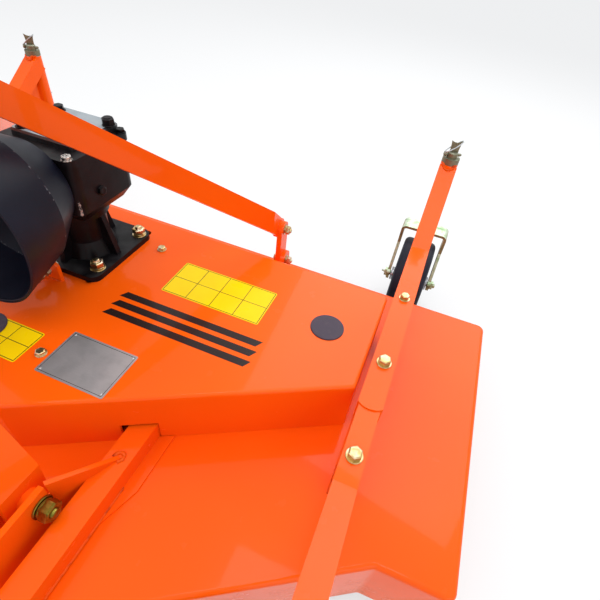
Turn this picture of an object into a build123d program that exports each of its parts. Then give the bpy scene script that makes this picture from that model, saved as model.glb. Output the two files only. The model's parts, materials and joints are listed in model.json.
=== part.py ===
from build123d import *
import os
from math import atan2, cos, hypot, radians, sin, tan

os.makedirs("parts", exist_ok=True)

# Rear-discharge finishing mower for a tractor's three-point linkage, in millimetres.
# +X is the machine's right, -Y its front (tractor side), +Z up.
# The origin is on the ground, in the middle of the machine's box.

# Shared sizes and fits
SHEET = 4
OVER = 5
RUN_FIT = 0.05
SEAT = 0.3
SIDES = (("left", -1), ("right", 1))

# Spindles and blades; AHEAD and BEHIND are distances from the outer spindles' line
OUTER_Y = 130
CENTRE_AHEAD = 290
CENTRE_Y = OUTER_Y - CENTRE_AHEAD
BLADE_LENGTH = 600
BLADE_SWING = BLADE_LENGTH / 2
BLADE_LAP = 19
SPINDLE_X = BLADE_LENGTH - BLADE_LAP
BLADE_WIDTH = 64
BLADE_THICK = 6
BLADE_TOP = 112
BLADE_LIFT_LENGTH = 110
BLADE_LIFT_WIDTH = 24
BLADE_LIFT = 16
BLADE_EDGE_LENGTH = 130
BLADE_EDGE_WIDTH = 14
BLADE_EDGE_LEFT = 1
BLADE_BOLT_R = 18
BLADE_BOLT = 12
BLADE_HUB_R = 42
BLADE_HUB = 22
HOUSING_FLANGE_R = 82
HOUSING_FLANGE = 12
SPINDLE_BODY_R = 45
SPINDLE_BODY_LOW = 142
SPINDLE_BODY_UP = 24
SPINDLE_SHAFT_R = 15
SPINDLE_TOP_FREE = 20
SPINDLE_CHAMFER = 2

# Deck
DECK_TOP = 215
SKIRT_DEPTH = 150
DECK_SIDE_ROOM = 54
DECK_REAR_ROOM = 20
DECK_SIDE_FRONT_ROOM = 45
DECK_NOSE_ROOM = 50
DECK_NOSE_SIDE_ROOM = 10
DECK_EAR = 133
DECK_HALF = SPINDLE_X + BLADE_SWING + DECK_SIDE_ROOM
DECK_REAR_Y = OUTER_Y + BLADE_SWING + DECK_REAR_ROOM
DECK_SIDE_FRONT_Y = OUTER_Y - BLADE_SWING - DECK_SIDE_FRONT_ROOM
DECK_NOSE_Y = CENTRE_Y - BLADE_SWING - DECK_NOSE_ROOM
DECK_NOSE_HALF = BLADE_SWING + DECK_NOSE_SIDE_ROOM
DECK_SHOULDER_HALF = DECK_HALF - DECK_EAR
DECK_CORNER_R = 18
DECK_BEND_R = 9
DISCHARGE_MARGIN = 60
DISCHARGE_TOP = 40
FLAP_THICK = 6
FLAP_BOTTOM_GAP = 14

# Belt housing
HOUSING_HEIGHT = 130
HOUSING_END_ROOM = 96
HOUSING_REAR_BEHIND = 158
HOUSING_SIDE_FRONT_AHEAD = 118
HOUSING_NOSE_ROOM = 122
HOUSING_FRONT_HALF = 150
HOUSING_HALF = SPINDLE_X + HOUSING_END_ROOM
HOUSING_REAR_Y = OUTER_Y + HOUSING_REAR_BEHIND
HOUSING_SIDE_FRONT_Y = OUTER_Y - HOUSING_SIDE_FRONT_AHEAD
HOUSING_FRONT_Y = CENTRE_Y - HOUSING_NOSE_ROOM
HOUSING_CORNER_R = 9
HOUSING_BEND_R = 7
HOUSING_TOP = DECK_TOP + HOUSING_HEIGHT
CAP_R = 35
CAP_THICK = 3
CAP_PLUG_R = 30
CAP_PLUG_DEPTH = 8
CAP_EDGE_R = 1.5

# Rails and lower hitch
PAD_THICK = 4
PAD_HALF = 47
PAD_GAP = 1
PAD_LENGTH = 74
RAIL_X = 340
RAIL_WIDTH = 45
RAIL_HEIGHT = 40
RAIL_WALL = 4
RAIL_REAR_AHEAD = 90
RAIL_FRONT_AHEAD = 605
PAD_FRONT_AHEAD = 396
RAIL_REAR_Y = OUTER_Y - RAIL_REAR_AHEAD
RAIL_FRONT_Y = OUTER_Y - RAIL_FRONT_AHEAD
PAD_FRONT_Y = OUTER_Y - PAD_FRONT_AHEAD
PAD_NOSE_Y = PAD_FRONT_Y - PAD_LENGTH
NOTCH_INNER_GAP = 12
NOTCH_OUTER_GAP = 2
NOTCH_TOP_GAP = 6
HITCH_PLATE = 10
HITCH_OUTER_X = 297
HITCH_GAP = 40
HITCH_TOP = 312
HITCH_REAR_AHEAD = 473
HITCH_PIN_AHEAD = 675
HITCH_REAR_Y = OUTER_Y - HITCH_REAR_AHEAD
HITCH_PIN_Y = OUTER_Y - HITCH_PIN_AHEAD
HITCH_PIN_Z = 288
HITCH_PIN_R = 11.25
HITCH_NOSE_R = 32
HITCH_TIE_AHEAD = 580
PIVOT_AHEAD = 489
PIVOT_Y = OUTER_Y - PIVOT_AHEAD
PIVOT_Z = 280
PIVOT_R = 10
GUSSET_THICK = 8
GUSSET_LOW_Z = 260
GUSSET_END_AHEAD = 372

# Mast, head, braces and links
LEG_THICK = 12
LEG_WIDTH = 70
LEG_X = 264
LEG_BEND_Z = 322
HEAD_TOP = 812
LEG_TOP_DOWN = 17
LEG_TOP_STRAIGHT = 70
LEG_TOP_Z = HEAD_TOP - LEG_TOP_DOWN
LEG_TOP_BEND_Z = LEG_TOP_Z - LEG_TOP_STRAIGHT
LEG_TOP_AHEAD = 452
LEG_TOP_Y = OUTER_Y - LEG_TOP_AHEAD
LEG_BOSS_R = 19
HEAD_PLATE = 10
HEAD_HALF_GAP = 22
HEAD_DEPTH = 77
HEAD_LOW = HEAD_TOP - HEAD_DEPTH
HEAD_FRONT_AHEAD = 548
HEAD_REAR_AHEAD = 175
HEAD_FRONT_Y = OUTER_Y - HEAD_FRONT_AHEAD
HEAD_REAR_Y = OUTER_Y - HEAD_REAR_AHEAD
HEAD_REAR_DEPTH = 60
HEAD_REAR_LOW = HEAD_TOP - HEAD_REAR_DEPTH
HEAD_CORNER_R = 14
HEAD_SPACER_R = 15
HEAD_SPACER_AHEAD = 390
HEAD_SPACER_Y = OUTER_Y - HEAD_SPACER_AHEAD
HEAD_SPACER_DOWN = 37
HEAD_SPACER_Z = HEAD_TOP - HEAD_SPACER_DOWN
TOP_PIN_AHEAD = 518
TOP_PIN_Y = OUTER_Y - TOP_PIN_AHEAD
TOP_PIN_DOWN = 40
TOP_PIN_Z = HEAD_TOP - TOP_PIN_DOWN
TOP_PIN_R = 9.75
BRACE_THICK = 10
BRACE_WIDTH = 50
BRACE_TOP_AHEAD = 203
BRACE_LOW_BEHIND = 249
BRACE_TOP_Y = OUTER_Y - BRACE_TOP_AHEAD
BRACE_TOP_DOWN = 34
BRACE_TOP_Z = HEAD_TOP - BRACE_TOP_DOWN
BRACE_LOW_X = 361
BRACE_LOW_Y = OUTER_Y + BRACE_LOW_BEHIND
BRACE_LOW_Z = 371
BRACE_TAB = 42
LINK_THICK = 13
LINK_WIDTH = 40
LINK_LOW_Z = 278
LUG_WIDTH = 50
LUG_THICK = 10
BOLT_HOLE_R = 6.5

# Caster arms
ARM_TUBE = 40
ARM_WALL = 3
ARM_GAP = 0.25
ARM_SIDE_ROOM = 11.75
CHANNEL_WIDTH = ARM_TUBE + 2 * (ARM_WALL + ARM_GAP)
CHANNEL_DEPTH = 46
CASTER_X = HOUSING_HALF + ARM_SIDE_ROOM + CHANNEL_WIDTH / 2
CHANNEL_FRONT_AHEAD = 143
CHANNEL_NOSE = 9
TUBE_REAR_BEHIND = 200
REAR_BEND_BEHIND = 392
FRONT_BEND_AHEAD = 300
REAR_SWIVEL_BEHIND = 600
FRONT_SWIVEL_AHEAD = 730
CHANNEL_FRONT_Y = OUTER_Y - CHANNEL_FRONT_AHEAD
TUBE_REAR_Y = OUTER_Y + TUBE_REAR_BEHIND
REAR_BEND_Y = OUTER_Y + REAR_BEND_BEHIND
FRONT_BEND_Y = OUTER_Y - FRONT_BEND_AHEAD
REAR_SWIVEL_Y = OUTER_Y + REAR_SWIVEL_BEHIND
FRONT_SWIVEL_Y = OUTER_Y - FRONT_SWIVEL_AHEAD
FRONT_RISE_DEG = 19
REAR_RISE_DEG = 36
SLEEVE_R = 23
SLEEVE_TOP = 496
SLEEVE_LOW = 290
SHAFT_R = 14
STAND_LENGTH = 60
STAND_WALL = 5
STAND_AHEAD = 235
STAND_BEHIND = 105

# Caster fork and wheel
FORK_TOP = 286
FORK_PLATE = 8
FORK_WIDTH = 139
FORK_DEPTH = 56
FORK_BEND_R = 16
FORK_EYE_R = 20
FORK_KNEE_DROP = 62
WASHER_HEIGHT = SLEEVE_LOW - FORK_TOP - SEAT
COLLAR_R = 23
COLLAR_HEIGHT = 16
SHAFT_END = 16
SHAFT_CHAMFER = 3
TRAIL = 65
TYRE_R = 127
TYRE_WIDTH = 96
TYRE_SHOULDER_R = 14
RIM_R = 66
RIM_WIDTH = 74
RIM_WALL = 5
RIM_WEB = 8
TYRE_BEAD = 18
HUB_R = 21
HUB_LENGTH = 116
AXLE_R = 8
AXLE_HEAD_R = 13
AXLE_HEAD = 9

# Gearbox, pedestal and input shield
PEDESTAL_HALF_X = 95
PEDESTAL_FRONT_AHEAD = 108
PEDESTAL_REAR_BEHIND = 95
PEDESTAL_FRONT_Y = OUTER_Y - PEDESTAL_FRONT_AHEAD
PEDESTAL_REAR_Y = OUTER_Y + PEDESTAL_REAR_BEHIND
PEDESTAL_FLANGE = 13
PEDESTAL_BOLT_X = 75
PEDESTAL_BOLT_FRONT_AHEAD = 73
PEDESTAL_BOLT_REAR_BEHIND = 70
PEDESTAL_BOLT_FRONT_Y = OUTER_Y - PEDESTAL_BOLT_FRONT_AHEAD
PEDESTAL_BOLT_REAR_Y = OUTER_Y + PEDESTAL_BOLT_REAR_BEHIND
PEDESTAL_BOLT_R = 8.5
PEDESTAL_CORNER_R = 22
FOOT_R = 62
NECK_R = 50
NECK_LOW = 392
NECK_TOP = 452
NECK_COLLAR_R = 60
NECK_COLLAR = 22
RIB_THICK = 12
RIB_FOOT = 82
SLOT_LENGTH = 76
SLOT_WIDTH = 18
GEAR_HALF = 91
GEAR_LOW = 474
GEAR_TAPER_TOP = 500
GEAR_TAPER_DEG = 38
GEAR_TOP = 611
GEAR_RIM = 14
GEAR_RIM_HALF = 93
GEAR_FRONT_AHEAD = 92
GEAR_REAR_BEHIND = 70
GEAR_RIM_BEHIND = 76
GEAR_FRONT_Y = OUTER_Y - GEAR_FRONT_AHEAD
GEAR_REAR_Y = OUTER_Y + GEAR_REAR_BEHIND
GEAR_RIM_REAR_Y = OUTER_Y + GEAR_RIM_BEHIND
GEAR_EDGE_R = 22
GEAR_RIM_R = 18
COVER_HALF_X = 71
COVER_HALF_Y = 66
COVER_BEHIND = 9
COVER_THICK = 14
COVER_CORNER_R = 10
INPUT_Z = 549
BOSS_R = 52
BOSS_LENGTH = 14
REAR_CAP_R = 38
REAR_CAP = 10
INPUT_R = 17.4
INPUT_ROOT_R = 14.5
INPUT_BORE_DEPTH = 30
INPUT_FREE = 78
SPLINE_COUNT = 6
SPLINE_WIDTH = 8.6
SHIELD_WALL = 4
SHIELD_BACK_R = 83
SHIELD_STEP_R = 126
SHIELD_STEP_LENGTH = 72
SHIELD_MOUTH_R = 150
SHIELD_LENGTH = 172
TAB_WIDTH = 56
TAB_HEIGHT = 44
TAB_THICK = 8
TAB_AHEAD = 128
TAB_Y = OUTER_Y - TAB_AHEAD
TENSION_BOLT_R = 6
TENSION_BOLT_UP = 22
TENSION_BOLT_Z = HOUSING_TOP + TENSION_BOLT_UP
TENSION_HEAD_R = 10.5
TENSION_HEAD = 8
TENSION_NUT_R = 10.5
TENSION_NUT = 10


def bent_bar(path, half):
    """Corner points of a flat bar bent along a path, half its thickness to each side."""
    left = []
    right = []
    for index, (x, y) in enumerate(path):
        turns = []
        if index > 0:
            turns.append(atan2(y - path[index - 1][1], x - path[index - 1][0]))
        if index < len(path) - 1:
            turns.append(atan2(path[index + 1][1] - y, path[index + 1][0] - x))
        middle = sum(turns) / len(turns)
        reach = half / cos((turns[-1] - turns[0]) / 2)
        left.append((x - reach * sin(middle), y + reach * cos(middle)))
        right.append((x + reach * sin(middle), y - reach * cos(middle)))
    return left + right[::-1]


def both_halves(points):
    """A closed outline from its right half, listed from the back to the front."""
    return points + [(-x, y) for x, y in reversed(points)]


def tray_block(outline, inset, low, top, corner_r, bend_r):
    """A block over an outline moved in by the inset, with rounded corners and top edges."""
    with BuildPart() as block:
        with BuildSketch(Plane.XY.offset(low)):
            with BuildLine():
                Polyline(*outline, close=True)
            make_face()
            if inset:
                offset(amount=-inset, kind=Kind.INTERSECTION)
        extrude(amount=top - low)
        fillet(block.edges().filter_by(Axis.Z), corner_r)
        fillet(block.faces().sort_by(Axis.Z)[-1].edges(), bend_r)
    return block.part


def save(part, name):
    part.label = name
    export_step(part, f"parts/{name}.step")


def side_plane(x):
    """A plane across the machine at x: its first axis is Y and its second Z."""
    return Plane.YZ.offset(x)


def front_plane(x, y, z):
    """An upright plane facing the front: its first axis is X and its second Z."""
    return Plane(origin=(x, y, z), x_dir=(1, 0, 0), z_dir=(0, -1, 0))


def hexagon(radius):
    """Across-corner hexagon for bolt heads and nuts."""
    RegularPolygon(radius=radius, side_count=6)


SPINDLES = (
    ("left", -SPINDLE_X, OUTER_Y),
    ("centre", 0, CENTRE_Y),
    ("right", SPINDLE_X, OUTER_Y),
)

# Deck shell: one folded sheet with a skirt all round, open below
deck_outline = both_halves([
    (DECK_HALF, DECK_REAR_Y),
    (DECK_HALF, DECK_SIDE_FRONT_Y),
    (DECK_SHOULDER_HALF, DECK_SIDE_FRONT_Y),
    (DECK_NOSE_HALF, DECK_NOSE_Y),
])
skirt_low = DECK_TOP - SKIRT_DEPTH
with BuildPart() as deck_shell:
    add(tray_block(deck_outline, 0, skirt_low, DECK_TOP, DECK_CORNER_R, DECK_BEND_R))
    add(
        tray_block(
            deck_outline,
            SHEET,
            skirt_low - OVER,
            DECK_TOP - SHEET,
            DECK_CORNER_R - SHEET,
            DECK_BEND_R - SHEET,
        ),
        mode=Mode.SUBTRACT,
    )
    with BuildSketch(Plane.XY.offset(DECK_TOP + OVER)):
        for name, x, y in SPINDLES:
            with Locations((x, y)):
                Circle(SPINDLE_BODY_R + SEAT)
    extrude(amount=-SHEET - 2 * OVER, mode=Mode.SUBTRACT)
    with BuildSketch(Plane.XZ.offset(-DECK_REAR_Y - OVER)):
        with Locations((0, skirt_low)):
            Rectangle(2 * (DECK_HALF - DISCHARGE_MARGIN), 2 * (SKIRT_DEPTH - DISCHARGE_TOP))
    extrude(amount=SHEET + 2 * OVER, mode=Mode.SUBTRACT)
save(deck_shell.part, "deck_shell")

# Rear flap: a rubber strip hung inside the rear opening
flap_low = skirt_low + FLAP_BOTTOM_GAP
with BuildPart() as rear_flap:
    with BuildSketch(Plane.XZ.offset(-DECK_REAR_Y + SHEET)):
        with Locations((0, (flap_low + DECK_TOP - DECK_BEND_R - SHEET) / 2)):
            Rectangle(
                2 * (DECK_HALF - DECK_CORNER_R - SHEET),
                DECK_TOP - DECK_BEND_R - SHEET - flap_low,
            )
    extrude(amount=FLAP_THICK)
save(rear_flap.part, "rear_flap")

# Belt housing: a folded tray over the belts, notched for the rails
housing_outline = both_halves([
    (HOUSING_HALF, HOUSING_REAR_Y),
    (HOUSING_HALF, HOUSING_SIDE_FRONT_Y),
    (HOUSING_FRONT_HALF, HOUSING_FRONT_Y),
])
rail_low = DECK_TOP + PAD_THICK
rail_top = rail_low + RAIL_HEIGHT
notch_width = RAIL_WIDTH + NOTCH_INNER_GAP + NOTCH_OUTER_GAP
notch_shift = (NOTCH_OUTER_GAP - NOTCH_INNER_GAP) / 2
notch_height = rail_top + NOTCH_TOP_GAP - DECK_TOP
slot_half = (SLOT_LENGTH - SLOT_WIDTH) / 2
with BuildPart() as belt_housing:
    add(
        tray_block(
            housing_outline, 0, DECK_TOP, HOUSING_TOP, HOUSING_CORNER_R, HOUSING_BEND_R
        )
    )
    add(
        tray_block(
            housing_outline,
            SHEET,
            DECK_TOP - OVER,
            HOUSING_TOP - SHEET,
            HOUSING_CORNER_R - SHEET,
            HOUSING_BEND_R - SHEET,
        ),
        mode=Mode.SUBTRACT,
    )
    with BuildSketch(Plane.XY.offset(HOUSING_TOP + OVER)):
        for name, x, y in SPINDLES:
            with Locations((x, y)):
                Circle(CAP_PLUG_R + SEAT)
        for y in (PEDESTAL_BOLT_FRONT_Y, PEDESTAL_BOLT_REAR_Y):
            for sign in (-1, 1):
                with Locations((sign * PEDESTAL_BOLT_X, y)):
                    SlotOverall(SLOT_LENGTH, SLOT_WIDTH, rotation=90)
    extrude(amount=-SHEET - 2 * OVER, mode=Mode.SUBTRACT)
    with BuildSketch(Plane.XZ.offset(-HOUSING_FRONT_Y + OVER)):
        for sign in (-1, 1):
            with Locations((sign * (RAIL_X + notch_shift), DECK_TOP)):
                Rectangle(notch_width, 2 * notch_height)
    extrude(amount=-(HOUSING_SIDE_FRONT_Y - HOUSING_FRONT_Y + OVER), mode=Mode.SUBTRACT)
save(belt_housing.part, "belt_housing")

# Tension tab: an upright plate on the housing that carries the tension bolt
with BuildPart() as tension_tab:
    with BuildSketch(Plane.XZ.offset(-TAB_Y + TAB_THICK / 2)):
        with Locations((0, HOUSING_TOP + TAB_HEIGHT / 2)):
            Rectangle(TAB_WIDTH, TAB_HEIGHT)
        with Locations((0, TENSION_BOLT_Z)):
            Circle(TENSION_BOLT_R + SEAT, mode=Mode.SUBTRACT)
    extrude(amount=-TAB_THICK)
    chamfer(tension_tab.edges().filter_by(Axis.Y).group_by(Axis.Z)[-1], TENSION_BOLT_R)
save(tension_tab.part, "tension_tab")

# Round caps over the three spindles
with BuildPart() as spindle_caps:
    for name, x, y in SPINDLES:
        with BuildSketch(Plane.XY.offset(HOUSING_TOP)):
            with Locations((x, y)):
                Circle(CAP_R)
        extrude(amount=CAP_THICK)
    fillet(spindle_caps.faces().filter_by(Plane.XY).group_by(Axis.Z)[-1].edges(), CAP_EDGE_R)
    for name, x, y in SPINDLES:
        with BuildSketch(Plane.XY.offset(HOUSING_TOP)):
            with Locations((x, y)):
                Circle(CAP_PLUG_R)
        extrude(amount=-CAP_PLUG_DEPTH)
save(spindle_caps.part, "spindle_caps")

# Gearbox pedestal: a flanged neck with four ribs on the slots of the belt housing
neck_y = (GEAR_FRONT_Y + GEAR_REAR_Y) / 2
flange_mid_y = (PEDESTAL_FRONT_Y + PEDESTAL_REAR_Y) / 2
flange_depth = PEDESTAL_REAR_Y - PEDESTAL_FRONT_Y
flange_top = HOUSING_TOP + PEDESTAL_FLANGE
with BuildPart() as gearbox_pedestal:
    with BuildSketch(Plane.XY.offset(HOUSING_TOP)):
        with Locations((0, flange_mid_y)):
            RectangleRounded(2 * PEDESTAL_HALF_X, flange_depth, PEDESTAL_CORNER_R)
        for y in (PEDESTAL_BOLT_FRONT_Y, PEDESTAL_BOLT_REAR_Y):
            with Locations((-PEDESTAL_BOLT_X, y), (PEDESTAL_BOLT_X, y)):
                Circle(PEDESTAL_BOLT_R, mode=Mode.SUBTRACT)
    extrude(amount=PEDESTAL_FLANGE)
    with BuildSketch(Plane.XY.offset(flange_top)):
        with Locations((0, neck_y)):
            Circle(FOOT_R)
    with BuildSketch(Plane.XY.offset(NECK_LOW)):
        with Locations((0, neck_y)):
            Circle(NECK_R)
    loft()
    with BuildSketch(Plane.XY.offset(NECK_LOW)):
        with Locations((0, neck_y)):
            Circle(NECK_R)
    extrude(amount=NECK_TOP - NECK_LOW)
    with BuildSketch(Plane.XY.offset(NECK_TOP)):
        with Locations((0, neck_y)):
            Circle(NECK_COLLAR_R)
    extrude(amount=NECK_COLLAR)
    for turn in (0, 90):
        rib_plane = Plane(
            origin=(0, neck_y, flange_top),
            x_dir=(cos(radians(turn)), sin(radians(turn)), 0),
            z_dir=(sin(radians(turn)), -cos(radians(turn)), 0),
        )
        with BuildSketch(rib_plane):
            with BuildLine():
                Polyline(
                    (-RIB_FOOT, 0),
                    (RIB_FOOT, 0),
                    (NECK_COLLAR_R, NECK_TOP - flange_top),
                    (-NECK_COLLAR_R, NECK_TOP - flange_top),
                    close=True,
                )
            make_face()
        extrude(amount=RIB_THICK / 2, both=True)
save(gearbox_pedestal.part, "gearbox_pedestal")

# Gearbox body with its front boss and rear cap
gear_depth = GEAR_REAR_Y - GEAR_FRONT_Y
rim_depth = GEAR_RIM_REAR_Y - GEAR_FRONT_Y
with BuildPart() as gearbox_body:
    with BuildSketch(Plane.XY.offset(GEAR_TAPER_TOP)):
        with Locations((0, neck_y)):
            RectangleRounded(2 * GEAR_HALF, gear_depth, GEAR_EDGE_R)
    extrude(amount=GEAR_TOP - GEAR_TAPER_TOP)
    with BuildSketch(Plane.XY.offset(GEAR_TAPER_TOP)):
        with Locations((0, neck_y)):
            RectangleRounded(2 * GEAR_HALF, gear_depth, GEAR_EDGE_R)
    extrude(amount=GEAR_LOW - GEAR_TAPER_TOP, taper=GEAR_TAPER_DEG)
    with BuildSketch(Plane.XY.offset(GEAR_TOP)):
        with Locations((0, GEAR_FRONT_Y + rim_depth / 2)):
            RectangleRounded(2 * GEAR_RIM_HALF, rim_depth, GEAR_RIM_R)
    extrude(amount=-GEAR_RIM)
    with BuildSketch(Plane.XZ.offset(-GEAR_FRONT_Y)):
        with Locations((0, INPUT_Z)):
            Circle(BOSS_R)
    extrude(amount=BOSS_LENGTH)
    with BuildSketch(Plane.XZ.offset(-GEAR_REAR_Y)):
        with Locations((0, INPUT_Z)):
            Circle(REAR_CAP_R)
    extrude(amount=-REAR_CAP)
    with BuildSketch(Plane.XZ.offset(-GEAR_FRONT_Y + BOSS_LENGTH)):
        with Locations((0, INPUT_Z)):
            Circle(INPUT_R + RUN_FIT)
    extrude(amount=-INPUT_BORE_DEPTH, mode=Mode.SUBTRACT)
save(gearbox_body.part, "gearbox_body")

# Gearbox cover: the plate on top of the body
with BuildPart() as gearbox_cover:
    with BuildSketch(Plane.XY.offset(GEAR_TOP)):
        with Locations((0, OUTER_Y + COVER_BEHIND)):
            RectangleRounded(2 * COVER_HALF_X, 2 * COVER_HALF_Y, COVER_CORNER_R)
    extrude(amount=COVER_THICK)
    chamfer(gearbox_cover.faces().sort_by(Axis.Z)[-1].edges(), COVER_THICK / 4)
save(gearbox_cover.part, "gearbox_cover")

# Input shaft with six splines
input_front_y = GEAR_FRONT_Y - BOSS_LENGTH
input_axis = Axis((0, 0, INPUT_Z), (0, 1, 0))
with BuildPart() as input_shaft:
    with BuildSketch(Plane.XZ.offset(-input_front_y)):
        with Locations((0, INPUT_Z)):
            Circle(INPUT_R)
    extrude(amount=-INPUT_BORE_DEPTH + SEAT)
    with BuildSketch(Plane.XZ.offset(-input_front_y)):
        with Locations((0, INPUT_Z)):
            Circle(INPUT_ROOT_R)
            with PolarLocations((INPUT_R + INPUT_ROOT_R) / 2 - SEAT, SPLINE_COUNT):
                Rectangle(INPUT_R - INPUT_ROOT_R + 2 * SEAT, SPLINE_WIDTH)
    extrude(amount=INPUT_FREE)
save(input_shaft.part, "input_shaft")

# Input shield: a stepped plastic bell round the shaft
shield_back_y = GEAR_FRONT_Y
shield_path = [
    (shield_back_y - SHIELD_WALL / 2, INPUT_Z + BOSS_R + SEAT),
    (shield_back_y - SHIELD_WALL / 2, INPUT_Z + SHIELD_BACK_R),
    (shield_back_y - SHIELD_STEP_LENGTH, INPUT_Z + SHIELD_STEP_R),
    (shield_back_y - SHIELD_LENGTH, INPUT_Z + SHIELD_MOUTH_R),
]
with BuildPart() as input_shield:
    with BuildSketch(Plane.YZ):
        with BuildLine():
            Polyline(*bent_bar(shield_path, SHIELD_WALL / 2), close=True)
        make_face()
    revolve(axis=input_axis)
save(input_shield.part, "input_shield")

# Belt tension bolt: it pushes on the pedestal through the tab
tension_tip_y = PEDESTAL_FRONT_Y - SEAT
tension_nut_y = TAB_Y - TAB_THICK / 2
tension_head_y = tension_nut_y - TENSION_NUT - TENSION_HEAD
with BuildPart() as tension_bolt:
    with BuildSketch(Plane.XZ.offset(-tension_tip_y)):
        with Locations((0, TENSION_BOLT_Z)):
            Circle(TENSION_BOLT_R)
    extrude(amount=tension_tip_y - tension_head_y)
    with BuildSketch(Plane.XZ.offset(-tension_nut_y)):
        with Locations((0, TENSION_BOLT_Z)):
            hexagon(TENSION_NUT_R)
    extrude(amount=TENSION_NUT)
    with BuildSketch(Plane.XZ.offset(-tension_head_y)):
        with Locations((0, TENSION_BOLT_Z)):
            hexagon(TENSION_HEAD_R)
    extrude(amount=TENSION_HEAD)
save(tension_bolt.part, "tension_bolt")

# Rails with the lower hitch plates
hitch_inner_x = HITCH_OUTER_X - 2 * HITCH_PLATE - HITCH_GAP
housing_slope = (HOUSING_SIDE_FRONT_Y - HOUSING_FRONT_Y) / (HOUSING_HALF - HOUSING_FRONT_HALF)
pad_inner_x = RAIL_X - RAIL_WIDTH / 2
pad_outer_x = RAIL_X + PAD_HALF
pad_rear_y = [
    HOUSING_FRONT_Y + (x - HOUSING_FRONT_HALF) * housing_slope - PAD_GAP
    for x in (pad_inner_x, pad_outer_x)
]
gusset_start = (HITCH_OUTER_X - HITCH_PLATE / 2, HITCH_REAR_Y + HITCH_PLATE / 2)
gusset_end = (RAIL_X, OUTER_Y - GUSSET_END_AHEAD)
gusset_run = (gusset_end[0] - gusset_start[0], gusset_end[1] - gusset_start[1])
gusset_length = hypot(*gusset_run)
hitch_side = [
    (HITCH_REAR_Y, DECK_TOP),
    (HITCH_REAR_Y, HITCH_TOP),
    (HITCH_PIN_Y + HITCH_NOSE_R, HITCH_TOP),
    (HITCH_PIN_Y + HITCH_NOSE_R, DECK_TOP),
]
for side, sign in SIDES:
    with BuildPart() as hitch_rail:
        with BuildSketch(Plane.XY.offset(DECK_TOP)):
            with BuildLine():
                Polyline(
                    (sign * pad_inner_x, pad_rear_y[0]),
                    (sign * pad_outer_x, pad_rear_y[1]),
                    (sign * pad_outer_x, PAD_FRONT_Y),
                    (sign * (RAIL_X + RAIL_WIDTH / 2), PAD_NOSE_Y),
                    (sign * (RAIL_X + RAIL_WIDTH / 2), RAIL_FRONT_Y),
                    (sign * pad_inner_x, RAIL_FRONT_Y),
                    close=True,
                )
            make_face()
        extrude(amount=PAD_THICK)
        with BuildSketch(Plane.XZ.offset(-RAIL_FRONT_Y)):
            with Locations((sign * RAIL_X, rail_low + RAIL_HEIGHT / 2)):
                Rectangle(RAIL_WIDTH, RAIL_HEIGHT)
                Rectangle(
                    RAIL_WIDTH - 2 * RAIL_WALL,
                    RAIL_HEIGHT - 2 * RAIL_WALL,
                    mode=Mode.SUBTRACT,
                )
        extrude(amount=RAIL_FRONT_Y - RAIL_REAR_Y)
        for plate_x in (HITCH_OUTER_X - HITCH_PLATE, hitch_inner_x):
            with BuildSketch(side_plane(sign * (plate_x + HITCH_PLATE / 2))):
                with BuildLine():
                    Polyline(*hitch_side, close=True)
                make_face()
                with Locations((HITCH_PIN_Y, HITCH_PIN_Z)):
                    Circle(HITCH_NOSE_R)
                with Locations((HITCH_PIN_Y + HITCH_NOSE_R, HITCH_PIN_Z)):
                    Rectangle(2 * HITCH_NOSE_R, 2 * (HITCH_TOP - HITCH_PIN_Z))
                with Locations((HITCH_PIN_Y, HITCH_PIN_Z)):
                    Circle(HITCH_PIN_R, mode=Mode.SUBTRACT)
                with Locations((PIVOT_Y, PIVOT_Z)):
                    Circle(PIVOT_R + RUN_FIT, mode=Mode.SUBTRACT)
            extrude(amount=HITCH_PLATE / 2, both=True)
        gusset_plane = Plane(
            origin=(sign * gusset_start[0], gusset_start[1], DECK_TOP),
            x_dir=(sign * gusset_run[0], gusset_run[1], 0),
            z_dir=(gusset_run[1], -sign * gusset_run[0], 0),
        )
        with BuildSketch(gusset_plane):
            with BuildLine():
                Polyline(
                    (0, 0),
                    (gusset_length, 0),
                    (gusset_length, GUSSET_LOW_Z - DECK_TOP),
                    (0, HITCH_TOP - DECK_TOP),
                    close=True,
                )
            make_face()
        extrude(amount=GUSSET_THICK / 2, both=True)
        with BuildSketch(Plane.XY.offset(DECK_TOP)):
            with Locations((sign * (hitch_inner_x + RAIL_X) / 2, OUTER_Y - HITCH_TIE_AHEAD)):
                Rectangle(RAIL_X - hitch_inner_x, LEG_WIDTH)
        extrude(amount=PAD_THICK)
    save(hitch_rail.part, f"hitch_rail_{side}")

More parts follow.
